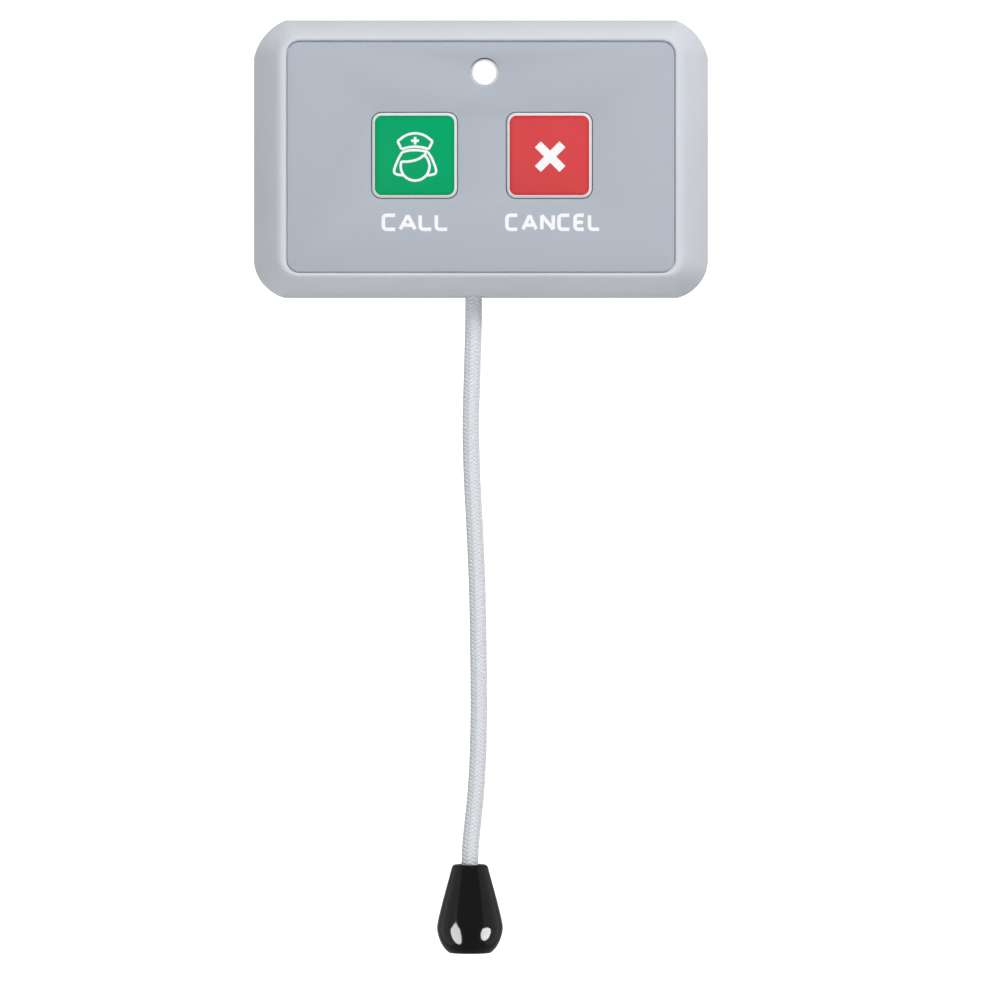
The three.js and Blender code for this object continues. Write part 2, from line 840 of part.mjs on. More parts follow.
function rearCover() {
  const boardPad = boardOut - coverPadGap;
  const root = coverThickness - seam;
  const pads = coverPads.map(([x, z]) => pin(x, z, coverPadRadius, root, boardPad));
  const sliderBack = cordOut - sliderDepth / 2 - sliderGap;
  const half = sliderWidth / 2 - backStopInset;
  const backStop = box(cordX - half, cordX + half, springSeatTop, sliderTop, root, sliderBack);
  const batteryRest = [-1, 1].map((side) => {
    const z = batteryZ + (side * cradlePitch) / 2;
    const low = z - ribThickness / 2;
    const half = batteryRestWidth / 2;
    const front = batteryOut - batteryRestDrop;
    return box(batteryX - half, batteryX + half, low, low + ribThickness, root, front);
  });
  const batteryClear = post(batteryX, batteryOut, batteryRadius + batteryGap, -batteryLength, batteryLength);
  const holes = bossPlaces.flatMap(([x, z]) => {
    const sink = caseScrewHeadHeight + caseScrewHeadInset;
    const mouth = caseScrewHeadRadius + caseScrewHeadGap;
    return [
      peg(x, z, caseScrewHoleRadius, -past, coverThickness + past, smallSides),
      peg(x, z, mouth, 0, sink, smallSides, caseScrewHoleRadius),
    ];
  });
  const keyholes = [-1, 1].map((side) => keyhole((side * keyholeSpacing) / 2));
  const raised = union([...pads, backStop, ...batteryRest]).subtract(batteryClear);
  const plate = slab(casePlan(wall + coverFit), 0, coverThickness);
  return plate.add(raised).subtract(union([...holes, ...keyholes]));
}

function caseScrew() {
  const start = caseScrewHeadInset;
  return peg(0, 0, caseScrewHeadRadius, start, start + caseScrewHeadHeight, smallSides, caseScrewRadius).add(
    peg(0, 0, caseScrewRadius, start + seam, start + caseScrewLength, smallSides),
  );
}

// Pull slider, its spring, its knot, the cord and the knob
function pullSlider() {
  const half = sliderWidth / 2;
  const back = -sliderDepth / 2;
  const plan = [
    [-half + sliderEdge, back],
    [half - sliderEdge, back],
    [half, back + sliderEdge],
    [half, -back - sliderEdge],
    [half - sliderEdge, -back],
    [-half + sliderEdge, -back],
    [-half, -back - sliderEdge],
    [-half, back + sliderEdge],
  ].map(([x, y]) => new THREE.Vector2(x, y));
  const extent = { depth: sliderHeight, bevelEnabled: false };
  const upright = new THREE.ExtrudeGeometry(new THREE.Shape(plan), extent);
  const block = solid(upright.translate(cordX, -cordOut, sliderBottom));
  const armLeft = cordX + half - seam;
  const arm = box(
    armLeft,
    cordX + half + armReach,
    sliderTop - armThickness,
    sliderTop,
    armOut - armWidth / 2,
    armOut + armWidth / 2,
  );
  const bore = post(cordX, cordOut, cordHoleRadius, sliderBottom - past, sliderTop + past, smallSides);
  const pocket = post(cordX, cordOut, pocketRadius, sliderTop - pocketDepth, sliderTop + past);
  return block.add(arm).subtract(bore.add(pocket));
}

function knot(radius, height) {
  const profile = Array.from({ length: knotSteps + 1 }, (_, step) => {
    const angle = Math.PI * (step / knotSteps - 0.5);
    const edge = step === 0 || step === knotSteps;
    return [edge ? 0 : radius * Math.cos(angle) ** knotFullness, (height / 2) * Math.sin(angle)];
  });
  return turned(profile, smallSides);
}

function returnSpring() {
  const low = springSeatTop + springGap + springWire / 2;
  const high = sliderBottom - springGap - springWire / 2;
  return coil(springRadius, high - low, springTurns, springWire / 2).translate([cordX, -cordOut, low]);
}

function pullCord() {
  const points = [
    [cordX, knotBottom - cordEndGap],
    [cordX, sliderBottom],
    [cordX, caseBottom],
    ...cordRoute,
    [knobX, knobTop],
    [knobX, knobTop - knobCordLead],
    [knobX, knobCeiling],
  ].map(([x, z]) => new THREE.Vector3(x, -cordOut, z));
  const curve = new THREE.CatmullRomCurve3(points);
  const steps = Math.round(curve.getLength() / (2 * cordRadius * cordStepDiameters));
  return wire(curve, cordRadius, steps, cordSides);
}

// Knob, with heights down from its flat top
function cordKnob() {
  const at = (radius, height) => new THREE.Vector2(radius, height);
  const flank = new THREE.QuadraticBezierCurve(
    at(knobBellyRadius, -knobBellyDrop),
    at(knobBellyRadius, -knobBellyDrop + knobFlankHandle),
    at(knobTopRadius, -knobEdge),
  ).getPoints(8);
  const bottom = new THREE.CubicBezierCurve(
    at(knobRimRadius, -knobHeight),
    at(knobRimRadius + knobRimHandle, -knobHeight),
    at(knobBellyRadius, -knobBellyDrop - knobBellyHandle),
    at(knobBellyRadius, -knobBellyDrop),
  ).getPoints(6);
  const hole = cordRadius + cordHoleGap;
  const ceiling = knobRecessDepth - knobHeight;
  const inside = [
    [knobTopRadius - knobEdge, 0],
    [hole, 0],
    [hole, ceiling],
    [knobRecessRadius, ceiling],
    [knobRecessRadius, -knobHeight + knobLip],
  ];
  const profile = [
    ...bottom.map((point) => [point.x, point.y]),
    ...flank.slice(1).map((point) => [point.x, point.y]),
    ...inside,
    [knobRimRadius, -knobHeight],
  ];
  return turned(profile, roundSides);
}

// Pull switch, its lever and its button
function pullSwitch() {
  const low = snapTop - snapHeight;
  const back = snapFront - snapDepth;
  const body = box(snapLeft, snapLeft + snapLength, low, snapTop, back, snapFront);
  const middle = snapLeft + snapLength / 2;
  const lugs = [-1, 0, 1].map((step) => {
    const x = middle + step * snapLug.pitch;
    const wide = snapLug.width / 2;
    const thin = snapLug.thickness / 2;
    return box(x - wide, x + wide, low - snapLug.height, low + seam, armOut - thin, armOut + thin);
  });
  const holes = snapPinPlaces.map(([x, z]) => peg(x, z, snapHoleRadius, 0, frontInner, smallSides));
  const buttonX = leverPivotX - buttonReach;
  const slot = buttonWidth / 2 + plungerClearance;
  const floor = snapTop - snapWellDepth;
  const well = box(buttonX - slot, buttonX + slot, floor, snapTop + past, armOut - slot, armOut + slot);
  return union([body, ...lugs]).subtract(union([...holes, well]));
}

function switchLever() {
  const leaf = new THREE.BoxGeometry(leverArm, leverWidth, leverThickness);
  leaf.translate(-leverArm / 2, 0, 0).rotateY(leverRest);
  return solid(leaf.translate(leverPivotX, -armOut, leverPivotZ));
}

function switchButton() {
  const half = buttonWidth / 2;
  const x = leverPivotX - buttonReach;
  const rise = (buttonReach - half) * Math.tan(leverRest);
  const top = leverPivotZ + rise - leverThickness / (2 * Math.cos(leverRest)) - leverGap;
  return box(x - half, x + half, top - buttonLength, top, armOut - half, armOut + half);
}

// Scene graph
function finish(color, roughness, metalness = 0) {
  return new THREE.MeshStandardMaterial({ color, roughness, metalness });
}

const finishes = {
  casePlastic: finish(0xcbcfd5, 0.45),
  film: finish(0xb1b8c2, 0.4),
  green: finish(0x00a266, 0.35),
  red: finish(0xd4474a, 0.35),
  lamp: finish(0xf6f8fb, 0.2),
  board: finish(0x1f6b3a, 0.5),
  blackPlastic: finish(0x17181a, 0.25),
  greyPlastic: finish(0x8c9096, 0.5),
  steel: finish(0xb9bcc0, 0.35, 1),
  battery: finish(0xc9ccd2, 0.35, 0.8),
  cord: finish(0xdbdee1, 0.9),
  antenna: finish(0xc98a4b, 0.35, 1),
};

function toGeometry(made) {
  const mesh = made.getMesh();
  const geometry = new THREE.BufferGeometry();
  const stride = mesh.numProp;
  const positions = new Float32Array(mesh.numVert * 3);
  for (let vertex = 0; vertex < mesh.numVert; vertex += 1) {
    positions.set(mesh.vertProperties.subarray(vertex * stride, vertex * stride + 3), vertex * 3);
  }
  geometry.setAttribute("position", new THREE.BufferAttribute(positions, 3));
  geometry.setIndex(new THREE.BufferAttribute(mesh.triVerts, 1));
  geometry.computeVertexNormals();
  return geometry;
}

function place(group, name, made, material, x = 0, out = 0, z = 0) {
  const mesh = new THREE.Mesh(toGeometry(made), material.clone());
  mesh.name = name;
  mesh.position.set(x, -out, z);
  group.add(mesh);
}

function caseGroup() {
  const group = new THREE.Group();
  place(group, "front_housing", frontHousing(), finishes.casePlastic);
  place(group, "face_overlay", faceFilm(), finishes.film);
  place(group, "rear_cover", rearCover(), finishes.casePlastic);
  bossPlaces.forEach(([x, z], i) => {
    place(group, `case_screw_${i + 1}`, caseScrew(), finishes.steel, x, 0, z);
  });
  return group;
}

function boardGroup() {
  const group = new THREE.Group();
  place(group, "circuit_board", circuitBoard(), finishes.board);
  boardScrewPlaces.forEach(([x, z], i) => {
    place(group, `board_screw_${i + 1}`, boardScrew(), finishes.steel, x, 0, z);
  });
  place(group, "signal_lamp", lamp(), finishes.lamp, lampX, boardFace, lampZ);
  const chipX = boardLeft + chip.fromLeft;
  const chipZ = boardBottom + chip.fromBottom;
  place(group, "controller_chip", controllerChip(), finishes.blackPlastic, chipX, 0, chipZ);
  const oscillatorX = boardLeft + oscillator.fromLeft;
  const oscillatorZ = boardBottom + oscillator.fromBottom;
  place(group, "oscillator_can", oscillatorCan(), finishes.steel, oscillatorX, 0, oscillatorZ);
  place(group, "antenna_coil", antennaCoil(), finishes.antenna, antennaX, 0, boardTop - antennaFromTop);
  capacitorXs.forEach((x, i) => {
    const z = boardTop - capacitorFromTop;
    place(group, `capacitor_${i + 1}`, capacitor(), finishes.blackPlastic, x, 0, z);
  });
  resistorXs.forEach((x, i) => {
    const z = boardTop - resistorFromTop;
    place(group, `resistor_${i + 1}`, resistor(), finishes.blackPlastic, x, 0, z);
  });
  return group;
}

function keyGroup(name, x, material) {
  const group = new THREE.Group();
  group.position.set(x, 0, keyRise);
  place(group, `${name}_button`, key(), material);
  place(group, `${name}_switch`, tactileSwitch(), finishes.steel);
  place(group, `${name}_switch_plunger`, switchPlunger(), finishes.blackPlastic);
  return group;
}

function batteryGroup() {
  const group = new THREE.Group();
  group.position.set(batteryX, -batteryOut, batteryZ);
  place(group, "battery", battery(), finishes.battery);
  place(group, "battery_contact_plate", contactPlate(), finishes.steel);
  place(group, "battery_contact_spring", contactSpring(), finishes.steel);
  return group;
}

function pullGroup() {
  const group = new THREE.Group();
  place(group, "pull_slider", pullSlider(), finishes.greyPlastic);
  place(group, "return_spring", returnSpring(), finishes.steel);
  const knotMiddle = knotBottom + knotHeight / 2;
  place(group, "cord_knot_upper", knot(knotRadius, knotHeight), finishes.cord, cordX, cordOut, knotMiddle);
  place(group, "pull_cord", pullCord(), finishes.cord);
  place(group, "cord_knob", cordKnob(), finishes.blackPlastic, knobX, cordOut, knobTop);
  const lowerMiddle = knobCeiling - cordEndGap - lowerKnotHeight / 2;
  const lower = knot(lowerKnotRadius, lowerKnotHeight);
  place(group, "cord_knot_lower", lower, finishes.cord, knobX, cordOut, lowerMiddle);
  return group;
}

function pullSwitchGroup() {
  const group = new THREE.Group();
  place(group, "pull_switch", pullSwitch(), finishes.blackPlastic);
  place(group, "switch_lever", switchLever(), finishes.steel);
  place(group, "switch_button", switchButton(), finishes.red);
  return group;
}

const staffCallButton = new THREE.Group();
staffCallButton.add(
  caseGroup(),
  boardGroup(),
  keyGroup("call", keyXs[0], finishes.green),
  keyGroup("cancel", keyXs[1], finishes.red),
  batteryGroup(),
  pullGroup(),
  pullSwitchGroup(),
);

export default staffCallButton;
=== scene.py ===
"""Looks of a staff call button: a wall case with two keys, a lamp and a braided pull cord.

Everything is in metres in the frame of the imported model: the wall is the plane y = 0, the front
looks along -y, +z is up, and x runs to the right of someone who faces the wall.
"""

from __future__ import annotations

import logging
import math
from collections.abc import Callable, Iterator, Sequence
from contextlib import contextmanager
from dataclasses import dataclass, field
from enum import Enum

import bmesh
import bpy
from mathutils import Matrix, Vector


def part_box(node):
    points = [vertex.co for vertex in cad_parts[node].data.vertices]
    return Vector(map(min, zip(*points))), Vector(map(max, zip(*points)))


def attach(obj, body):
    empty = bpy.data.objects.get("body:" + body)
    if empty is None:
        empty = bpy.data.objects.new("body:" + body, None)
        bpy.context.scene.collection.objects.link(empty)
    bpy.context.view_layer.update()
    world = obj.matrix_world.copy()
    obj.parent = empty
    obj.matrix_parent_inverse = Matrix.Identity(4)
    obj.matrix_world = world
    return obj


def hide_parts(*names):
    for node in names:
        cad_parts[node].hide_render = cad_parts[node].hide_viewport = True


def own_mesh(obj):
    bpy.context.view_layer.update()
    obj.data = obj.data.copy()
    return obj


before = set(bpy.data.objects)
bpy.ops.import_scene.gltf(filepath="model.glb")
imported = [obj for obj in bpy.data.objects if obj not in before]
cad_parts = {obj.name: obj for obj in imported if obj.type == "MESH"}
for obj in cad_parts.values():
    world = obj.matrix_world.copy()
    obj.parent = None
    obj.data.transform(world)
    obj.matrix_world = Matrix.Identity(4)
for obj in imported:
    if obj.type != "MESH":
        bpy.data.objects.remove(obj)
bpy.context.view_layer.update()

LOG = logging.getLogger("call_button")
MM = 0.001

Colour = tuple[float, float, float]
Point = tuple[float, float]


class Body(Enum):
    """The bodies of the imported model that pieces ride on."""

    CASE = "case"
    CALL_KEY = "call_key"
    CANCEL_KEY = "cancel_key"
    PULL = "pull"


class Axis(Enum):
    """The way a turned piece's axis points."""

    UP = "up"
    FORWARD = "forward"


def srgb(red: float, green: float, blue: float) -> Colour:
    """Linear colour of an sRGB triple.

    Args:
        red: Red from 0 to 255.
        green: Green from 0 to 255.
        blue: Blue from 0 to 255.

    Returns:
        The colour as three linear values.
    """

    def linear(value: float) -> float:
        """One channel, from sRGB to linear."""
        share = value / 255
        return share / 12.92 if share <= 0.04045 else ((share + 0.055) / 1.055) ** 2.4

    return linear(red), linear(green), linear(blue)


# Shader expressions


class Term:
    """A number that varies over a surface, as an output socket that takes part in sums."""

    def __init__(self, shader: Shader, socket: bpy.types.NodeSocket) -> None:
        """Wraps a socket of a shader."""
        self.shader = shader
        self.socket = socket

    def _math(self, operation: str, *values: Term | float) -> Term:
        """A Math node on these values."""
        inputs = dict(enumerate(values))
        return self.shader.node("ShaderNodeMath", {"operation": operation}, inputs)

    def __add__(self, other: Term | float) -> Term:
        """Sum."""
        return self._math("ADD", self, other)

    __radd__ = __add__

    def __sub__(self, other: Term | float) -> Term:
        """Difference."""
        return self._math("SUBTRACT", self, other)

    def __rsub__(self, other: float) -> Term:
        """Difference, reflected."""
        return self._math("SUBTRACT", other, self)

    def __mul__(self, other: Term | float) -> Term:
        """Product."""
        return self._math("MULTIPLY", self, other)

    __rmul__ = __mul__

    def __abs__(self) -> Term:
        """Size without sign."""
        return self._math("ABSOLUTE", self)

    def sine(self) -> Term:
        """Sine of the value in radians."""
        return self._math("SINE", self)

    def larger(self, other: Term | float) -> Term:
        """The larger of two values."""
        return self._math("MAXIMUM", self, other)

    def ramp(self, low: float, high: float) -> Term:
        """A smooth step.

        Args:
            low: The value where the step is 0.
            high: The value where the step is 1.

        Returns:
            The step, from 0 to 1.
        """
        settings = {"interpolation_type": "SMOOTHSTEP"}
        inputs = {"Value": self, "From Min": low, "From Max": high}
        return self.shader.node("ShaderNodeMapRange", settings, inputs)


class Shader:
    """A material under construction, with a Principled shader at its end."""

    def __init__(self, name: str) -> None:
        """Starts an empty material of that name."""
        self.material = bpy.data.materials.new(name)
        self.material.use_nodes = True
        self.tree = self.material.node_tree
        self.tree.nodes.clear()
        self.surface = self.tree.nodes.new("ShaderNodeBsdfPrincipled")
        output = self.tree.nodes.new("ShaderNodeOutputMaterial")
        self.tree.links.new(self.surface.outputs[0], output.inputs["Surface"])

    def node(
        self,
        kind: str,
        settings: dict[str, object] | None = None,
        inputs: dict[int | str, object] | None = None,
        output: int | str = 0,
    ) -> Term:
        """Adds a node.

        Args:
            kind: The node's type.
            settings: Its properties, set before its sockets.
            inputs: Values or terms for its sockets, by name or number.
            output: The output that is wanted.

        Returns:
            That output.
        """
        made = self.tree.nodes.new(kind)
        for key, value in (settings or {}).items():
            setattr(made, key, value)
        for key, value in (inputs or {}).items():
            self.feed(made.inputs[key], value)
        return Term(self, made.outputs[output])

    def feed(self, socket: bpy.types.NodeSocket, value: object) -> None:
        """Links a term to a socket, or sets the socket's own value."""
        if isinstance(value, Term):
            self.tree.links.new(value.socket, socket)
        elif isinstance(value, tuple) and len(value) == 3 and socket.type == "RGBA":
            socket.default_value = (*value, 1.0)
        else:
            socket.default_value = value

    def place(self) -> Term:
        """The place on the piece, in metres."""
        return self.node("ShaderNodeTexCoord", output="Object")

    def parts(self, vector: Term) -> tuple[Term, Term, Term]:
        """The x, y and z of a vector."""
        made = self.tree.nodes.new("ShaderNodeSeparateXYZ")
        self.tree.links.new(vector.socket, made.inputs[0])
        return Term(self, made.outputs[0]), Term(self, made.outputs[1]), Term(self, made.outputs[2])

    def noise(self, per_metre: float, detail: float = 4.0, where: Term | None = None) -> Term:
        """Fractal noise.

        Args:
            per_metre: Blobs to the metre.
            detail: Octaves.
            where: The coordinates, or the place on the piece.

        Returns:
            Noise from 0 to 1.
        """
        inputs = {"Vector": where or self.place(), "Scale": per_metre, "Detail": detail}
        return self.node("ShaderNodeTexNoise", {}, inputs)

    def blend(self, share: Term | float, first: Colour | Term, second: Colour | Term) -> Term:
        """A mix of two colours.

        Args:
            share: How much of the second.
            first: Colour at share 0.
            second: Colour at share 1.

        Returns:
            The mixed colour.
        """
        made = self.tree.nodes.new("ShaderNodeMix")
        made.data_type = "RGBA"
        self.feed(made.inputs[0], share)
        self.feed(made.inputs[6], first)
        self.feed(made.inputs[7], second)
        return Term(self, made.outputs[2])

    def relief(self, height: Term, depth: float) -> None:
        """Adds a bump.

        Args:
            height: Height from 0 to 1.
            depth: The height of 1, in metres.
        """
        inputs = {"Height": height, "Distance": depth, "Strength": 1.0}
        normal = self.node("ShaderNodeBump", {}, inputs, "Normal")
        self.feed(self.surface.inputs["Normal"], normal)

    def set(self, **values: object) -> None:
        """Feeds sockets of the Principled shader, named with underscores."""
        for key, value in values.items():
            self.feed(self.surface.inputs[key.replace("_", " ")], value)


# Finishes


@dataclass(frozen=True)
class MouldedPlastic:
    """Moulded plastic with a fine spark-eroded grain and a faint unevenness of colour."""

    name: str
    colour: Colour
    roughness: float = 0.42
    grain_per_metre: float = 5200.0
    grain_depth: float = 6e-6
    unevenness: float = 0.02
    cloud_per_metre: float = 45.0
    grain_dulling: float = 0.12
    cloud_dulling: float = 0.06

    def make(self) -> bpy.types.Material:
        """The material."""
        shader = Shader(self.name)
        cloud = shader.noise(self.cloud_per_metre, 3.0)
        dark = tuple(channel * (1 - self.unevenness) for channel in self.colour)
        light = tuple(min(1.0, channel * (1 + self.unevenness)) for channel in self.colour)
        grain = shader.noise(self.grain_per_metre, 2.0)
        rough = self.roughness + (grain - 0.5) * self.grain_dulling + (cloud - 0.5) * self.cloud_dulling
        shader.set(Base_Color=shader.blend(cloud.ramp(0.3, 0.7), dark, light), Roughness=rough)
        shader.relief(grain, self.grain_depth)
        return shader.material


@dataclass(frozen=True)
class PrintedFilm:
    """Printed polycarbonate film with a velvet face."""

    name: str
    colour: Colour
    roughness: float = 0.48
    cloud_per_metre: float = 28.0
    velvet_per_metre: float = 11000.0
    velvet_depth: float = 3e-6

    def make(self) -> bpy.types.Material:
        """The material."""
        shader = Shader(self.name)
        cloud = shader.noise(self.cloud_per_metre, 2.0)
        velvet = shader.noise(self.velvet_per_metre, 1.0)
        shade = tuple(channel * 0.985 for channel in self.colour)
        shader.set(
            Base_Color=shader.blend(cloud.ramp(0.2, 0.8), shade, self.colour),
            Roughness=self.roughness + (velvet - 0.5) * 0.16,
            Specular_IOR_Level=0.35,
        )
        shader.relief(velvet, self.velvet_depth)
        return shader.material


@dataclass(frozen=True)
class KeyField:
    """Coloured enamel of a key face, with painted shade that deepens its tone along its rim."""

    name: str
    colour: Colour
    # Colour of the painted shade along the field's rim.
    rim: Colour
    centre: tuple[float, float]
    half: float
    rim_shade_width: float = 0.9 * MM
    cloud_per_metre: float = 160.0
    peel_per_metre: float = 1800.0
    peel_depth: float = 4e-6

    def make(self) -> bpy.types.Material:
        """The material."""
        shader = Shader(self.name)
        x, _, z = shader.parts(shader.place())
        from_middle = abs(x - self.centre[0]).larger(abs(z - self.centre[1]))
        # Painted shade: the band along the field's edge blends to the darker rim colour.
        rim = from_middle.ramp(self.half - self.rim_shade_width, self.half)
        cloud = shader.noise(self.cloud_per_metre, 3.0)
        face = shader.blend(cloud.ramp(0.2, 0.8), tuple(c * 0.97 for c in self.colour), self.colour)
        orange_peel = shader.noise(self.peel_per_metre, 2.0)
        shader.set(
            Base_Color=shader.blend(rim, face, self.rim),
            Roughness=0.38 + (orange_peel - 0.5) * 0.08,
            Specular_IOR_Level=0.16,
        )
        shader.relief(orange_peel, self.peel_depth)
        return shader.material


@dataclass(frozen=True)
class LampResin:
    """Milky resin of the signal lamp, with a faint painted glow that brightens it to near white."""

    name: str
    colour: Colour
    cloud_per_metre: float = 900.0
    # Strength of the painted glow that brightens the resin.
    glow: float = 0.35

    def make(self) -> bpy.types.Material:
        """The material."""
        shader = Shader(self.name)
        cloud = shader.noise(self.cloud_per_metre, 2.0)
        shader.set(
            Base_Color=shader.blend(cloud, tuple(c * 0.97 for c in self.colour), self.colour),
            Roughness=0.16 + cloud * 0.08,
            # Painted glow: white emission that lifts the resin to near white.
            Emission_Color=(1.0, 1.0, 1.0),
            Emission_Strength=self.glow,
            Coat_Weight=0.3,
        )
        return shader.material


@dataclass(frozen=True)
class GlossPlastic:
    """Polished moulded plastic with hair-fine handling marks."""

    name: str
    colour: Colour
    roughness: float = 0.09
    marks_per_metre: float = 260.0
    marks_narrowing: float = 9.0
    flow_per_metre: float = 120.0
    flow_depth: float = 12e-6

    def make(self) -> bpy.types.Material:
        """The material."""
        shader = Shader(self.name)
        x, y, z = shader.parts(shader.place())
        across = {0: x * self.marks_narrowing, 1: y * self.marks_narrowing, 2: z}
        streak = shader.node("ShaderNodeCombineXYZ", {}, across)
        marks = shader.noise(self.marks_per_metre, 6.0, streak)
        flow = shader.noise(self.flow_per_metre, 2.0)
        shader.set(
            Base_Color=shader.blend(flow, self.colour, tuple(c * 1.5 for c in self.colour)),
            Roughness=self.roughness + marks.ramp(0.55, 0.8) * 0.1,
            Specular_IOR_Level=0.32,
        )
        shader.relief(flow, self.flow_depth)
        return shader.material


@dataclass(frozen=True)
class BraidYarn:
    """White polyester yarn. The strand map runs along and round each strand."""

    name: str
    colour: Colour
    fibres: float = 52.0
    twist_per_metre: float = 900.0
    wander_per_metre: float = 2600.0
    fuzz_per_metre: float = 9000.0
    fibre_depth: float = 22e-6

    def make(self) -> bpy.types.Material:
        """The material."""
        shader = Shader(self.name)
        strand = shader.node("ShaderNodeUVMap", {"uv_map": "strand"})
        along, around, _ = shader.parts(strand)
        wander = shader.noise(self.wander_per_metre, 2.0)
        phase = around * self.fibres + along * self.twist_per_metre + wander * 5.0
        fibre = phase.sine() * 0.5 + 0.5
        fuzz = shader.noise(self.fuzz_per_metre, 3.0)
        shade = fibre * 0.5 + fuzz * 0.5
        shader.set(
            Base_Color=shader.blend(shade, tuple(c * 0.86 for c in self.colour), self.colour),
            Roughness=0.74 + (fuzz - 0.5) * 0.2,
            Specular_IOR_Level=0.3,
            Sheen_Weight=0.15,
            Sheen_Roughness=0.5,
        )
        shader.relief(shade, self.fibre_depth)
        return shader.material


@dataclass(frozen=True)
class PlatedMetal:
    """Plated metal with fine drawing marks and a few dull patches."""

    name: str
    colour: Colour
    roughness: float = 0.28
    marks_per_metre: float = 900.0
    patches_per_metre: float = 300.0
    marks_depth: float = 4e-6

    def make(self) -> bpy.types.Material:
        """The material."""
        shader = Shader(self.name)
        x, y, z = shader.parts(shader.place())
        drawn = shader.node("ShaderNodeCombineXYZ", {}, {0: x * 6.0, 1: y * 0.6, 2: z * 6.0})
        marks = shader.noise(self.marks_per_metre, 4.0, drawn)
        patches = shader.noise(self.patches_per_metre, 3.0)
        shader.set(
            Base_Color=shader.blend(patches, tuple(c * 0.82 for c in self.colour), self.colour),
            Metallic=1.0,
            Roughness=self.roughness + (marks - 0.5) * 0.2 + patches * 0.08,
        )
        shader.relief(marks, self.marks_depth)
        return shader.material


@dataclass(frozen=True)
class SolderMask:
    """Green solder mask over copper tracks."""

    name: str
    mask: Colour
    track: Colour
    pitch: float = 2.54 * MM
    areas_per_metre: float = 140.0
    haze_per_metre: float = 2000.0
    track_height: float = 20e-6

    def make(self) -> bpy.types.Material:
        """The material."""
        shader = Shader(self.name)
        x, _, z = shader.parts(shader.place())
        lane = (abs((x * (math.tau / self.pitch)).sine())).ramp(0.55, 0.7)
        rung = (abs((z * (math.tau / self.pitch)).sine())).ramp(0.6, 0.75)
        area = shader.noise(self.areas_per_metre, 0.0).ramp(0.48, 0.52)
        tracks = lane * area + rung * (1 - area)
        shader.set(
            Base_Color=shader.blend(tracks, self.mask, self.track),
            Roughness=0.36 + shader.noise(self.haze_per_metre, 2.0) * 0.1,
        )
        shader.relief(tracks, self.track_height)
        return shader.material


@dataclass(frozen=True)
class BatteryJacket:
    """Plain shrink jacket of a battery between bare metal ends."""

    name: str
    jacket: Colour
    metal: Colour
    middle: float
    half: float
    border: float = 0.05 * MM
    scuffs_per_metre: float = 700.0
    scuff_depth: float = 5e-6

    def make(self) -> bpy.types.Material:
        """The material."""
        shader = Shader(self.name)
        _, _, z = shader.parts(shader.place())
        bare = abs(z - self.middle).ramp(self.half - self.border, self.half + self.border)
        scuff = shader.noise(self.scuffs_per_metre, 4.0)
        shader.set(
            Base_Color=shader.blend(bare, self.jacket, self.metal),
            Metallic=bare,
            Roughness=0.3 + scuff * 0.15,
        )
        shader.relief(scuff, self.scuff_depth)
        return shader.material


@dataclass(frozen=True)
class StageWhite:
    """Plain white paper of the backdrop, lit from behind above the floor."""

    name: str
    dark_below: float
    lit_above: float
    glow: float = 0.82
    fibres_per_metre: float = 900.0

    def make(self) -> bpy.types.Material:
        """The material."""
        shader = Shader(self.name)
        _, _, z = shader.parts(shader.place())
        lit = z.ramp(self.dark_below, self.lit_above)
        fibre = shader.noise(self.fibres_per_metre, 3.0)
        shader.set(
            Base_Color=shader.blend(fibre, (0.78, 0.78, 0.79), (0.82, 0.82, 0.83)),
            Roughness=0.9,
            Specular_IOR_Level=0.1,
            Emission_Color=shader.blend(lit, (0.0, 0.0, 0.0), (self.glow,) * 3),
            Emission_Strength=1.0,
        )
        return shader.material


# Modelling by hand


def activate(piece: bpy.types.Object) -> None:
    """Makes one object the only selected one."""
    for other in bpy.context.selected_objects:
        other.select_set(False)
    piece.select_set(True)
    bpy.context.view_layer.objects.active = piece


@contextmanager
def editing(piece: bpy.types.Object, mode: str = "VERT") -> Iterator[None]:
    """Edit mode on one object, with everything in it selected at the start.

    Args:
        piece: The object.
        mode: The kind of element that is selected.

    Yields:
        Nothing.
    """
    activate(piece)
    bpy.ops.object.mode_set(mode="EDIT")
    bpy.ops.mesh.select_mode(type=mode)
    bpy.ops.mesh.select_all(action="SELECT")
    yield
    bpy.ops.object.mode_set(mode="OBJECT")


def select_where(piece: bpy.types.Object, kind: str, wanted: Callable[[object], bool]) -> None:
    """Selects elements of the edited mesh by a test.

    Args:
        piece: The object in edit mode.
        kind: "verts", "edges" or "faces".
        wanted: A function of one element that says whether to select it.
    """
    bpy.ops.mesh.select_all(action="DESELECT")
    mesh = bmesh.from_edit_mesh(piece.data)
    for element in [each for each in getattr(mesh, kind) if wanted(each)]:
        element.select_set(True)
    bmesh.update_edit_mesh(piece.data)


def apply_modifiers(piece: bpy.types.Object) -> None:
    """Applies every modifier of a piece in order."""
    activate(piece)
    for modifier in list(piece.modifiers):
        bpy.ops.object.modifier_apply(modifier=modifier.name)


def settle(piece: bpy.types.Object, smooth_degrees: float = 35.0) -> None:
    """Puts a piece's place into its mesh and shades it."""
    activate(piece)
    bpy.ops.object.transform_apply(location=True, rotation=True, scale=True)
    bpy.ops.object.shade_smooth_by_angle(angle=math.radians(smooth_degrees))


def round_edges(piece: bpy.types.Object, width: float, degrees: float = 30.0, segments: int = 2) -> None:
    """Rounds the sharp edges of a piece.

    Args:
        piece: The object.
        width: Width of the round in metres.
        degrees: Edges sharper than this are rounded.
        segments: Facets across the round.
    """
    bevel = piece.modifiers.new("edge_round", "BEVEL")
    bevel.width = width
    bevel.segments = segments
    bevel.limit_method = "ANGLE"
    bevel.angle_limit = math.radians(degrees)
    bevel.use_clamp_overlap = True
    bevel.harden_normals = False
    apply_modifiers(piece)


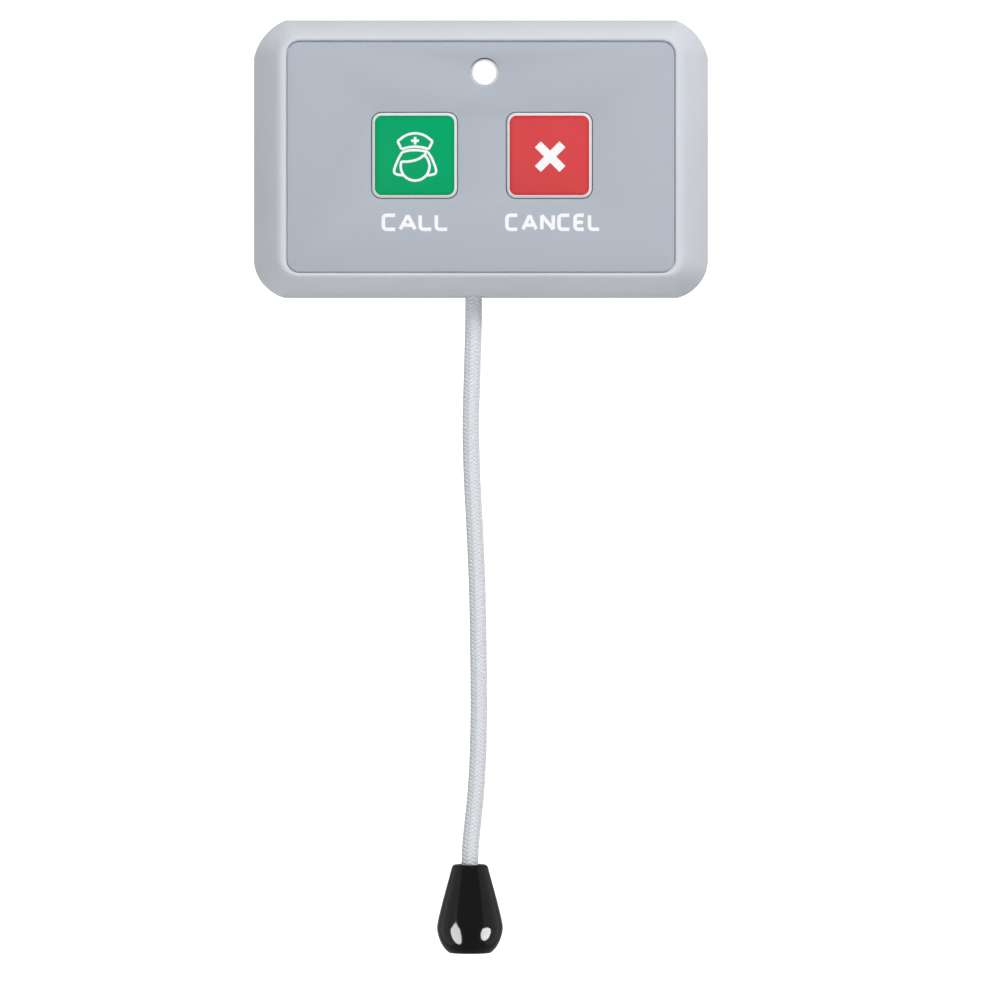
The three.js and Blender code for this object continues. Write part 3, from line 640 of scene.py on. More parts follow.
def refined_copy(node: str, name: str, edge: float, smooth_degrees: float = 32.0) -> bpy.types.Object:
    """A copy of a CAD node with its triangles merged and its edges rounded.

    Args:
        node: The CAD node.
        name: The new piece's name.
        edge: Width of the rounded edges in metres, or 0 for none.
        smooth_degrees: Faces that meet at less than this are shaded as one.

    Returns:
        The new piece, which stands for the node.
    """
    piece = bpy.data.objects.new(name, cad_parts[node].data.copy())
    bpy.context.scene.collection.objects.link(piece)
    with editing(piece):
        bpy.ops.mesh.remove_doubles(threshold=1e-6)
        bpy.ops.mesh.dissolve_limited(angle_limit=math.radians(0.4))
    if edge:
        round_edges(piece, edge)
    settle(piece, smooth_degrees)
    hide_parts(node)
    return piece


def turned(
    name: str,
    profile: Sequence[Point],
    sides: int,
    centre: Vector,
    axis: Axis = Axis.UP,
    hollow: bool = False,
) -> bpy.types.Object:
    """Turns a profile: a circle is drawn out ring by ring.

    Args:
        name: The piece's name.
        profile: Radius and height of each ring, in metres. A last radius of 0 closes to a pole.
        sides: Facets round the piece.
        centre: Where height 0 of the axis lies.
        axis: The way the heights run.
        hollow: True where the last ring joins the first.

    Returns:
        The turned piece.
    """
    radius, height = profile[0]
    bpy.ops.mesh.primitive_circle_add(vertices=sides, radius=radius, location=(0, 0, 0))
    piece = bpy.context.object
    piece.name = name
    piece.location = (0, 0, height)
    activate(piece)
    bpy.ops.object.transform_apply(location=True, rotation=False, scale=False)
    with editing(piece, "EDGE"):
        if not hollow:
            bpy.ops.mesh.edge_face_add()
            select_where(piece, "edges", lambda edge: True)
        for next_radius, next_height in profile[1:]:
            bpy.ops.mesh.extrude_edges_move(TRANSFORM_OT_translate={"value": (0, 0, next_height - height)})
            if next_radius == 0:
                bpy.ops.mesh.merge(type="CENTER")
                break
            ratio = next_radius / radius
            bpy.ops.transform.resize(value=(ratio, ratio, 1), center_override=(0, 0, next_height))
            radius, height = next_radius, next_height
        if profile[-1][0] > 0:
            bpy.ops.mesh.select_mode(type="VERT")
            bpy.ops.mesh.select_all(action="DESELECT")
            bpy.ops.mesh.select_non_manifold()
            if hollow:
                bpy.ops.mesh.bridge_edge_loops()
            else:
                bpy.ops.mesh.edge_face_add()
        bpy.ops.mesh.select_all(action="SELECT")
        bpy.ops.mesh.remove_doubles(threshold=1e-7)
        bpy.ops.mesh.normals_make_consistent(inside=False)
    if axis is Axis.FORWARD:
        piece.rotation_euler = (math.pi / 2, 0, 0)
    piece.location = centre
    settle(piece, 40.0)
    return piece


def arc(centre: Point, radius: float, start: float, end: float, steps: int = 8) -> list[Point]:
    """Points of an arc.

    Args:
        centre: Its centre.
        radius: Its radius.
        start: First angle in degrees, anticlockwise from the right.
        end: Last angle in degrees.
        steps: Chords.

    Returns:
        The points.
    """
    points = []
    for step in range(steps + 1):
        angle = math.radians(start + (end - start) * step / steps)
        points.append((centre[0] + radius * math.cos(angle), centre[1] + radius * math.sin(angle)))
    return points


def smooth_line(points: Sequence[Vector], steps: int) -> list[Vector]:
    """A curve through points, parametrised by the square root of their distances.

    Args:
        points: The points it passes through.
        steps: Chords between two points.

    Returns:
        The points of the curve.
    """
    ends = [points[0] * 2 - points[1], *points, points[-1] * 2 - points[-2]]
    line = [points[0].copy()]
    for a, b, c, d in zip(ends, ends[1:], ends[2:], ends[3:]):
        ta = 0.0
        tb = ta + math.sqrt((b - a).length)
        tc = tb + math.sqrt((c - b).length)
        td = tc + math.sqrt((d - c).length)
        for step in range(1, steps + 1):
            t = tb + (tc - tb) * step / steps
            ab = a.lerp(b, (t - ta) / (tb - ta))
            bc = b.lerp(c, (t - tb) / (tc - tb))
            cd = c.lerp(d, (t - tc) / (td - tc))
            abc = ab.lerp(bc, (t - ta) / (tc - ta))
            bcd = bc.lerp(cd, (t - tb) / (td - tb))
            line.append(abc.lerp(bcd, (t - tb) / (tc - tb)))
    return line


def tube(
    name: str,
    lines: Sequence[Sequence[tuple[float, float, float]]],
    radius: float,
    resolution: int = 2,
    cyclic: bool = False,
) -> bpy.types.Object:
    """Round wires along lines, as one mesh.

    Args:
        name: The piece's name.
        lines: The points of each wire's middle.
        radius: The wires' radius.
        resolution: Facets in a quarter of a wire's section, less one.
        cyclic: True where each wire joins its own start.

    Returns:
        The wires.
    """
    curve = bpy.data.curves.new(name, "CURVE")
    curve.dimensions = "3D"
    curve.bevel_depth = radius
    curve.bevel_resolution = resolution
    curve.use_fill_caps = not cyclic
    for points in lines:
        spline = curve.splines.new("POLY")
        spline.points.add(len(points) - 1)
        spline.use_cyclic_u = cyclic
        for place, point in zip(spline.points, points):
            place.co = (*point, 1)
    piece = bpy.data.objects.new(name, curve)
    bpy.context.scene.collection.objects.link(piece)
    activate(piece)
    bpy.ops.object.convert(target="MESH")
    return bpy.context.object


def dress(piece: bpy.types.Object, material: bpy.types.Material, body: Body) -> None:
    """Gives a new piece its finish and its body, and logs the body it rides on."""
    piece.data.materials.clear()
    piece.data.materials.append(material)
    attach(piece, body.value)
    LOG.info("%s rides on %s", piece.name, body.value)


# Sub-assemblies


@dataclass
class Case:
    """Front housing, rear cover and the film in the front recess."""

    housing_edge: float = 0.12 * MM
    cover_edge: float = 0.1 * MM
    film_edge: float = 0.05 * MM
    plastic: MouldedPlastic = MouldedPlastic("case_plastic", srgb(211, 215, 221))
    cover_plastic: MouldedPlastic = MouldedPlastic("cover_plastic", srgb(200, 204, 210), roughness=0.5)
    film: PrintedFilm = PrintedFilm("overlay_film", srgb(177, 184, 194))

    def build(self) -> None:
        """Models and dresses the case."""
        housing = refined_copy("front_housing", "housing_shell", self.housing_edge)
        dress(housing, self.plastic.make(), Body.CASE)
        cover = refined_copy("rear_cover", "back_cover", self.cover_edge)
        dress(cover, self.cover_plastic.make(), Body.CASE)
        film = refined_copy("face_overlay", "face_film", self.film_edge)
        dress(film, self.film.make(), Body.CASE)


@dataclass
class Screws:
    """Countersunk case screws with a cross recess, seen from behind."""

    slot_width: float = 0.55 * MM
    slot_length: float = 2.6 * MM
    slot_depth: float = 0.8 * MM
    taper: float = 0.55
    edge: float = 0.04 * MM
    steel: PlatedMetal = PlatedMetal("screw_steel", srgb(190, 192, 196))

    def build(self) -> None:
        """Models each screw from its node and cuts its recess."""
        material = self.steel.make()
        for number in range(1, 5):
            node = f"case_screw_{number}"
            low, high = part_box(node)
            screw = refined_copy(node, f"cover_screw_{number}", self.edge, 40.0)
            self.cut_recess(screw, Vector(((low[0] + high[0]) / 2, high[1], (low[2] + high[2]) / 2)))
            dress(screw, material, Body.CASE)

    def cut_recess(self, screw: bpy.types.Object, head: Vector) -> None:
        """Cuts the cross recess into a screw.

        Args:
            screw: The screw.
            head: Middle of its head's outer face.
        """
        size = (self.slot_length, 2 * self.slot_depth, self.slot_width)
        for scale in (size, size[::-1]):
            bpy.ops.mesh.primitive_cube_add(size=1, location=head)
            cutter = bpy.context.object
            cutter.scale = scale
            with editing(cutter, "FACE"):
                select_where(cutter, "faces", lambda face: face.normal.y < -0.9)
                bpy.ops.transform.resize(value=(self.taper, 1, self.taper))
            activate(cutter)
            bpy.ops.object.transform_apply(location=True, rotation=True, scale=True)
            cut = screw.modifiers.new("cross_recess", "BOOLEAN")
            cut.operation = "DIFFERENCE"
            cut.solver = "EXACT"
            cut.object = cutter
            apply_modifiers(screw)
            bpy.data.objects.remove(cutter, do_unlink=True)


@dataclass
class Print:
    """White screen print: strokes of even width in low relief on a flat face."""

    base_out: float
    height: float = 0.03 * MM
    ink: MouldedPlastic = MouldedPlastic(
        "white_ink",
        srgb(246, 247, 249),
        roughness=0.5,
        grain_per_metre=7000.0,
        grain_depth=2e-6,
        unevenness=0.01,
    )

    def strokes(self, name: str, lines: Sequence[Sequence[Point]], width: float) -> bpy.types.Object:
        """Draws strokes.

        Args:
            name: The piece's name.
            lines: Each stroke's points, in metres, as seen from the front.
            width: The strokes' width.

        Returns:
            The print as a mesh.
        """
        piece = tube(name, [[(x, 0.0, z) for x, z in points] for points in lines], width / 2)
        piece.scale = (1, 2 * self.height / width, 1)
        piece.location = (0, -self.base_out, 0)
        settle(piece, 60.0)
        return piece


@dataclass
class Lettering:
    """The function word under a key, in plain wide capitals."""

    word: str
    centre: Point
    stretch: float = 1.0
    gap: float = 0.27 * MM
    tall: float = 2.64 * MM
    stroke: float = 0.68 * MM
    corner: float = 0.6 * MM
    widths: dict[str, float] = field(
        default_factory=lambda: {
            "C": 2.23 * MM,
            "A": 2.82 * MM,
            "L": 2.08 * MM,
            "N": 2.45 * MM,
            "E": 1.88 * MM,
        }
    )

    def glyph(self, letter: str, width: float) -> list[list[Point]]:
        """Strokes of a letter.

        Args:
            letter: The letter.
            width: Its width between stroke middles.

        Returns:
            The strokes, from the letter's bottom left corner.
        """
        tall, corner = self.tall, self.corner
        foot = [*arc((corner, corner), corner, 180, 270), (width, 0.0)]
        hook = [(width, tall), *arc((corner, tall - corner), corner, 90, 180), *foot]
        bar = tall * 0.3
        lean = bar / tall * width / 2
        shapes = {
            "C": [hook],
            "L": [[(0.0, tall), *foot]],
            "E": [hook, [(0.0, tall / 2), (width * 0.92, tall / 2)]],
            "N": [[(0.0, 0.0), (0.0, tall)], [(0.0, tall), (width, 0.0)], [(width, 0.0), (width, tall)]],
            "A": [[(0.0, 0.0), (width / 2, tall)], [(width / 2, tall), (width, 0.0)],
                  [(lean, bar), (width - lean, bar)]],
        }
        return shapes[letter]

    def lines(self) -> list[list[Point]]:
        """Strokes of the whole word, centred on its place."""
        inks = [self.widths[letter] * self.stretch + self.stroke for letter in self.word]
        left = self.centre[0] - (sum(inks) + self.gap * (len(inks) - 1)) / 2
        low = self.centre[1] - self.tall / 2
        made = []
        for letter, ink in zip(self.word, inks):
            start = left + self.stroke / 2
            for stroke in self.glyph(letter, ink - self.stroke):
                made.append([(start + x, low + z) for x, z in stroke])
            left += ink + self.gap
        return made


@dataclass
class Attendant:
    """A plain line figure of a capped head without a face, about the middle of its key."""

    centre: Point
    line: float = 0.46 * MM
    face_radius: float = 2.72 * MM
    face_drop: float = 2.05 * MM

    def shifted(self, points: Sequence[Point]) -> list[Point]:
        """Points in millimetres about the middle, as places in metres."""
        return [(self.centre[0] + x * MM, self.centre[1] + z * MM) for x, z in points]

    def bowed(self, points: Sequence[Point]) -> list[Point]:
        """A smooth stroke through points in millimetres."""
        line = smooth_line([Vector((x, z)) for x, z in points], 6)
        return self.shifted([(point.x, point.y) for point in line])

    def lines(self) -> list[list[Point]]:
        """Strokes of the cap, the hair and the head."""
        face = arc((0, -self.face_drop / MM), self.face_radius / MM, 160, 408, 24)
        return [
            self.bowed([(-3.3, 2.65), (-1.75, 3.75), (0, 4.15), (1.75, 3.75), (3.3, 2.65)]),
            self.shifted([(-3.3, 2.65), (-2.55, 1.15)]),
            self.shifted([(3.3, 2.65), (2.55, 1.15)]),
            self.bowed([(-2.55, 1.15), (-1.3, 1.5), (0, 1.62), (1.3, 1.5), (2.55, 1.15)]),
            self.bowed([(-2.45, 0.6), (-1.25, 0.88), (0, 0.98), (1.25, 0.88), (2.45, 0.6)]),
            self.bowed([(-2.45, 0.6), (-3.25, -0.9), (-3.9, -3.3), (-2.0, -3.85)]),
            self.bowed([(2.45, 0.6), (3.3, -0.9), (3.9, -3.3), (2.0, -3.85)]),
            self.bowed([(-2.6, -1.2), (-1.1, -1.15), (0.6, -0.7), (2.1, 0.35)]),
            self.shifted(face),
        ]

    def plus(self) -> list[list[Point]]:
        """Strokes of the small plus on the cap."""
        return [self.shifted([(-0.72, 2.75), (0.72, 2.75)]), self.shifted([(0, 2.03), (0, 3.47)])]


@dataclass
class Key:
    """A key: white cap, coloured field and its sign."""

    node: str
    name: str
    body: Body
    slot: str
    colour: Colour
    # Colour of the painted shade along the rim of the coloured field.
    rim: Colour
    field_size: float = 15.0 * MM
    field_radius: float = 1.35 * MM
    field_height: float = 0.04 * MM
    field_edge: float = 0.02 * MM
    cap_edge: float = 0.08 * MM
    cap: MouldedPlastic = MouldedPlastic(
        "key_white",
        srgb(224, 226, 230),
        roughness=0.4,
        grain_per_metre=4000.0,
        grain_depth=3e-6,
        unevenness=0.01,
    )

    def place(self) -> tuple[Point, float]:
        """Middle of the key's face and the face's distance from the wall."""
        low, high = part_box(self.node)
        return ((low[0] + high[0]) / 2, (low[2] + high[2]) / 2), -low[1]

    def build(self) -> None:
        """Models the cap and its coloured field."""
        cap = refined_copy(self.node, f"{self.name}_cap", self.cap_edge)
        dress(cap, self.cap.make(), self.body)
        (x, z), face = self.place()
        bpy.ops.mesh.primitive_plane_add(size=self.field_size, location=(0, 0, 0))
        patch = bpy.context.object
        patch.name = f"{self.name}_field"
        with editing(patch):
            bpy.ops.mesh.bevel(offset=self.field_radius, segments=8, affect="VERTICES")
            bpy.ops.mesh.select_all(action="SELECT")
            bpy.ops.mesh.extrude_region_move(TRANSFORM_OT_translate={"value": (0, 0, self.field_height)})
            bpy.ops.mesh.select_all(action="SELECT")
            bpy.ops.mesh.normals_make_consistent(inside=False)
        patch.rotation_euler = (math.pi / 2, 0, 0)
        patch.location = (x, -face, z)
        round_edges(patch, self.field_edge)
        settle(patch)
        finish = KeyField(f"{self.name}_enamel", self.colour, self.rim, (x, z), self.field_size / 2)
        dress(patch, finish.make(), self.body)


@dataclass
class Cross:
    """The diagonal cross on the cancel key."""

    centre: Point
    face: float
    arm_width: float = 1.6 * MM
    arm_length: float = 2.48 * MM
    height: float = 0.03 * MM
    corner: float = 0.16 * MM

    def build(self) -> bpy.types.Object:
        """Draws a square's four sides out into arms and gives it its thickness.

        Returns:
            The cross.
        """
        half = self.arm_width / 2
        bpy.ops.mesh.primitive_plane_add(size=self.arm_width, location=(0, 0, 0))
        piece = bpy.context.object
        piece.name = "cancel_cross"
        with editing(piece, "EDGE"):
            for x, y in ((1, 0), (-1, 0), (0, 1), (0, -1)):
                def on_side(edge: bmesh.types.BMEdge, x: int = x, y: int = y) -> bool:
                    """Whether an edge is the square's side on that hand."""
                    middle = (edge.verts[0].co + edge.verts[1].co) / 2
                    return abs(middle.x - x * half) < 1e-7 and abs(middle.y - y * half) < 1e-7

                select_where(piece, "edges", on_side)
                move = (x * self.arm_length, y * self.arm_length, 0)
                bpy.ops.mesh.extrude_edges_move(TRANSFORM_OT_translate={"value": move})
            bpy.ops.mesh.select_mode(type="VERT")
            select_where(piece, "verts", lambda vert: vert.co.length > self.arm_length)
            bpy.ops.mesh.bevel(offset=self.corner, segments=4, affect="VERTICES")
            bpy.ops.mesh.select_all(action="SELECT")
            bpy.ops.mesh.extrude_region_move(TRANSFORM_OT_translate={"value": (0, 0, self.height)})
            bpy.ops.mesh.select_all(action="SELECT")
            bpy.ops.mesh.normals_make_consistent(inside=False)
        piece.rotation_euler = (math.pi / 2, math.pi / 4, 0)
        piece.location = (self.centre[0], -self.face, self.centre[1])
        settle(piece)
        return piece


@dataclass
class Lamp:
    """Signal lamp: a domed resin body on a flange."""

    node: str = "signal_lamp"
    sides: int = 48
    radius: float = 2.45 * MM
    flange: float = 2.9 * MM
    flange_height: float = 1.0 * MM
    edge: float = 0.12 * MM
    waist_share: float = 0.6
    dome_degrees: float = 84
    dome_steps: int = 14
    resin: LampResin = LampResin("lamp_resin", srgb(250, 251, 253))

    def build(self) -> None:
        """Turns and dresses the lamp."""
        low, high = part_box(self.node)
        tall = high[1] - low[1]
        shoulder = tall - self.radius
        profile = [
            (self.flange - self.edge, 0.0),
            (self.flange, self.edge),
            (self.flange, self.flange_height - self.edge),
            (self.flange - self.edge, self.flange_height),
            (self.radius, self.flange_height),
            (self.radius, shoulder * self.waist_share),
        ]
        dome = arc((0, 0), self.radius, 0, self.dome_degrees, self.dome_steps)
        profile += [(x, shoulder + y) for x, y in dome]
        profile.append((0.0, tall))
        centre = Vector(((low[0] + high[0]) / 2, high[1], (low[2] + high[2]) / 2))
        lamp = turned("lamp_dome", profile, self.sides, centre, Axis.FORWARD)
        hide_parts(self.node)
        dress(lamp, self.resin.make(), Body.CASE)


@dataclass
class PullCord:
    """Braided cord from the slider down into the knob, and the knot at each end."""

    diameter: float = 3.3 * MM
    out: float = 8.0 * MM
    exit_z: float = -26.15 * MM
    carriers: int = 8
    pitch: float = 6.1 * MM
    strand_width: float = 0.66 * MM
    strand_thickness: float = 0.34 * MM
    weave: float = 0.13 * MM
    section: int = 6
    steps_per_turn: int = 28
    core_radius: float = 1.16 * MM
    core_sides: int = 12
    core_stride: int = 7
    line_steps: int = 12
    weave_sharpness: float = 1.6
    knot_cord_share: float = 0.36
    knot_steps: int = 96
    # The route's points in millimetres as x and z, the same as in the solids.
    route: tuple[Point, ...] = (
        (-1.42, -14.55),
        (-1.42, -17.45),
        (-1.42, -26.15),
        (-1.42, -30),
        (-1.5, -34.3),
        (-1.72, -42),
        (-1.88, -47.6),
        (-1.9, -53.3),
        (-1.68, -60.9),
        (-1.27, -68.5),
        (-0.92, -76.1),
        (-0.65, -83.7),
        (-0.52, -91.3),
        (-0.42, -98.9),
        (-0.42, -106.4),
        (-0.62, -114),
        (-1.02, -120.7),
        (-1.6, -126.3),
        (-1.98, -130.3),
        (-2.1, -133.8),
        (-2.1, -136.8),
        (-2.1, -142.4),
    )
    yarn: BraidYarn = BraidYarn("cord_braid", srgb(228, 231, 235))

    def centreline(self) -> list[Vector]:
        """The cord's middle as closely spaced points."""
        points = [Vector((x * MM, -self.out, z * MM)) for x, z in self.route]
        return smooth_line(points, self.line_steps)

    @staticmethod
    def lengths(line: Sequence[Vector]) -> list[float]:
        """Length along a line to each of its points."""
        total = [0.0]
        for a, b in zip(line, line[1:]):
            total.append(total[-1] + (b - a).length)
        return total

    def stations(self, spacing: float) -> list[tuple[float, Vector, Vector, Vector]]:
        """Evenly spaced places on the cord.

        Args:
            spacing: Distance between them.

        Returns:
            For each place its length along, its point, and the two directions across the cord.
        """
        line = self.centreline()
        along = self.lengths(line)
        count = round(along[-1] / spacing)
        depth = Vector((0, -1, 0))
        made = []
        segment = 0
        for step in range(count + 1):
            want = along[-1] * step / count
            while segment < len(line) - 2 and along[segment + 1] < want:
                segment += 1
            a, b = line[segment], line[segment + 1]
            share = (want - along[segment]) / (along[segment + 1] - along[segment])
            side = (b - a).normalized().cross(depth).normalized()
            made.append((want, a.lerp(b, share), depth, side))
        return made

    def strand(
        self, stations: Sequence[tuple[float, Vector, Vector, Vector]], number: int, hand: int
    ) -> tuple[list[Vector], list[Point]]:
        """One strand that winds round the cord and weaves over two and under two.

        Args:
            stations: Places on the cord.
            number: Which strand of its hand.
            hand: 1 or -1, the way it winds.

        Returns:
            Its points, ring by ring, and each point's place in the strand map.
        """
        middle_radius = self.diameter / 2 - self.strand_thickness / 2 - self.weave
        turn = math.tau / self.pitch
        points: list[Vector] = []
        places: list[Point] = []
        for length, centre, depth, side in stations:
            angle = hand * (math.tau * number / self.carriers + turn * length)
            crossing = 2 * self.carriers * length / self.pitch
            phase = math.pi / 2 * (crossing * hand - 0.5 + 2 * number)
            over = hand * math.cos(phase)
            over = math.tanh(self.weave_sharpness * over) / math.tanh(self.weave_sharpness)
            outward = depth * math.cos(angle) + side * math.sin(angle)
            around = side * math.cos(angle) - depth * math.sin(angle)
            radius = middle_radius + self.weave * over
            down = depth.cross(side)
            heading = (down + around * (hand * turn * radius)).normalized()
            across = heading.cross(outward).normalized()
            middle = centre + outward * radius
            for corner in range(self.section):
                spin = math.tau * corner / self.section
                wide = across * (self.strand_width / 2 * math.cos(spin))
                thick = outward * (self.strand_thickness / 2 * math.sin(spin))
                points.append(middle + wide + thick)
                places.append((length, corner / self.section))
        return points, places

    def tube_faces(self, rings: int, sides: int, first: int) -> list[tuple[int, ...]]:
        """Faces of a closed tube of rings.

        Args:
            rings: How many rings.
            sides: Points in a ring.
            first: Number of the first point.

        Returns:
            The faces.
        """
        faces: list[tuple[int, ...]] = []
        for ring in range(rings - 1):
            for corner in range(sides):
                a = first + ring * sides + corner
                b = first + ring * sides + (corner + 1) % sides
                faces.append((a, b, b + sides, a + sides))
        faces.append(tuple(first + corner for corner in reversed(range(sides))))
        last = first + (rings - 1) * sides
        faces.append(tuple(last + corner for corner in range(sides)))
        return faces

    def braid(self) -> bpy.types.Object:
        """The cord as woven strands round a core."""
        stations = self.stations(self.pitch / self.steps_per_turn)
        points: list[Vector] = []
        places: list[Point] = []
        faces: list[tuple[int, ...]] = []
        for hand in (1, -1):
            for number in range(self.carriers):
                first = len(points)
                strand_points, strand_places = self.strand(stations, number, hand)
                points += strand_points
                places += strand_places
                faces += self.tube_faces(len(stations), self.section, first)
        core = stations[:: self.core_stride]
        if core[-1] is not stations[-1]:
            core.append(stations[-1])
        first = len(points)
        for length, centre, depth, side in core:
            for corner in range(self.core_sides):
                angle = math.tau * corner / self.core_sides
                points.append(centre + (depth * math.cos(angle) + side * math.sin(angle)) * self.core_radius)
                places.append((length, corner / self.core_sides))
        faces += self.tube_faces(len(core), self.core_sides, first)
        mesh = bpy.data.meshes.new("cord_braid")
        mesh.from_pydata(points, [], faces)
        layer = mesh.uv_layers.new(name="strand")
        for loop, item in zip(mesh.loops, layer.data):
            item.uv = places[loop.vertex_index]
        piece = bpy.data.objects.new("cord_braid", mesh)
        bpy.context.scene.collection.objects.link(piece)
        with editing(piece):
            bpy.ops.mesh.normals_make_consistent(inside=False)
        settle(piece, 60.0)
        return piece

    def knot(self, node: str, name: str, turn: float) -> bpy.types.Object:
        """An overhand knot of the cord, pulled tight.

        Args:
            node: The CAD node that it stands for.
            name: The piece's name.
            turn: How far round it is turned, in radians.

        Returns:
            The knot.
        """
        low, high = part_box(node)
        centre = (Vector(low) + Vector(high)) / 2
        radius = (high[0] - low[0]) / 2
        half = (high[2] - low[2]) / 2
        cord = radius * self.knot_cord_share
        points = []
        for step in range(self.knot_steps):
            t = math.tau * step / self.knot_steps
            x = (math.sin(t) + 2 * math.sin(2 * t)) / 3 * (radius - cord)
            y = (math.cos(t) - 2 * math.cos(2 * t)) / 3 * (radius - cord)
            z = -math.sin(3 * t) * (half - cord)
            turned_x = x * math.cos(turn) - y * math.sin(turn)
            turned_y = x * math.sin(turn) + y * math.cos(turn)
            points.append((centre.x + turned_x, centre.y + turned_y, centre.z + z))
        piece = tube(name, [points], cord, 5, cyclic=True)
        piece.data.uv_layers.new(name="strand")
        settle(piece, 60.0)
        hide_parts(node)
        return piece

    def build(self, on_cord: Sequence[bpy.types.Object]) -> None:
        """Args:
            on_cord: The pieces at its end; not used.
        """
        material = self.yarn.make()
        cord = self.braid()
        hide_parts("pull_cord")
        dress(cord, material, Body.PULL)
        upper = self.knot("cord_knot_upper", "slider_knot", 0.4)
        lower = self.knot("cord_knot_lower", "knob_knot", 1.1)
        for piece in (upper, lower):
            dress(piece, material, Body.PULL)
        line = self.centreline()


@dataclass
class Knob:
    """Teardrop knob, bored for the cord and hollow below for its knot."""

    node: str = "cord_knob"
    sides: int = 96
    height: float = 16.8 * MM
    top_radius: float = 3.5 * MM
    edge: float = 0.85 * MM
    belly_radius: float = 6.25 * MM
    belly_drop: float = 11.9 * MM
    rim_radius: float = 3.9 * MM
    bore: float = 2.0 * MM
    recess_radius: float = 3.4 * MM
    recess_depth: float = 8.2 * MM
    lip: float = 0.25 * MM
    flank_pull: float = 1.3 * MM
    belly_pull: float = 1.9 * MM
    rim_pull: Point = (1.3 * MM, 0.8 * MM)
    crown_steps: int = 5
    flank_steps: int = 20
    bottom_steps: int = 18
    plastic: GlossPlastic = GlossPlastic("knob_plastic", srgb(9, 8, 9))

    def profile(self) -> list[Point]:
        """Radius and height of each ring, down from the flat top and back up inside."""
        belly = Vector((self.belly_radius, -self.belly_drop))
        rim = Vector((self.rim_radius, -self.height))
        top = Vector((self.top_radius, -self.edge))
        flank = self.bezier([top, belly + Vector((0, self.flank_pull)), belly], self.flank_steps)
        bottom = self.bezier(
            [belly, belly - Vector((0, self.belly_pull)), rim + Vector(self.rim_pull), rim],
            self.bottom_steps,
        )
        crown_centre = (self.top_radius - self.edge, -self.edge)
        crown = arc(crown_centre, self.edge, 90, 10, self.crown_steps)
        lip = self.lip
        ceiling = self.recess_depth - self.height
        inside = [
            (self.recess_radius + lip, -self.height),
            (self.recess_radius, -self.height + lip),
            (self.recess_radius, ceiling - lip),
            (self.recess_radius - lip, ceiling),
            (self.bore + lip, ceiling),
            (self.bore, ceiling + lip),
            (self.bore, -lip),
            (self.bore + lip * 0.8, 0.0),
        ]
        return [*crown, *flank[1:], *bottom[1:], *inside]

    @staticmethod
    def bezier(points: Sequence[Vector], steps: int) -> list[Point]:
        """Points of a Bezier curve of any degree."""
        made = []
        for step in range(steps + 1):
            layer = [point.copy() for point in points]
            while len(layer) > 1:
                layer = [a.lerp(b, step / steps) for a, b in zip(layer, layer[1:])]
            made.append((layer[0].x, layer[0].y))
        return made

    def build(self) -> bpy.types.Object:
        """Turns and dresses the knob.

        Returns:
            The knob.
        """
        low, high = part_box(self.node)
        centre = Vector(((low[0] + high[0]) / 2, (low[1] + high[1]) / 2, high[2]))
        knob = turned("teardrop_knob", self.profile(), self.sides, centre, Axis.UP, hollow=True)
        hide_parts(self.node)
        dress(knob, self.plastic.make(), Body.PULL)
        return knob


@dataclass
class ReturnSpring:
    """Coil spring under the slider, modelled at rest; the mesh doesn't shorten as the cord is pulled."""

    node: str = "return_spring"
    wire: float = 0.5 * MM
    turns: float = 4.0
    steps_per_turn: int = 32
    travel: float = 3.0 * MM
    steel: PlatedMetal = PlatedMetal("spring_wire", srgb(200, 202, 206), roughness=0.22)

    def build(self) -> None:
        """Winds and dresses the spring."""
        low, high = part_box(self.node)
        radius = (high[0] - low[0] - self.wire) / 2
        centre = (Vector(low) + Vector(high)) / 2
        bottom = low[2] + self.wire / 2
        rise = high[2] - low[2] - self.wire
        steps = round(self.turns * self.steps_per_turn)
        points = []
        for step in range(steps + 1):
            angle = math.tau * self.turns * step / steps
            place = (centre.x + radius * math.cos(angle), centre.y + radius * math.sin(angle))
            points.append((*place, bottom + rise * step / steps))
        piece = tube("slider_spring", [points], self.wire / 2)
        settle(piece, 60.0)
        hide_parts(self.node)
        dress(piece, self.steel.make(), Body.CASE)
        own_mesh(piece)


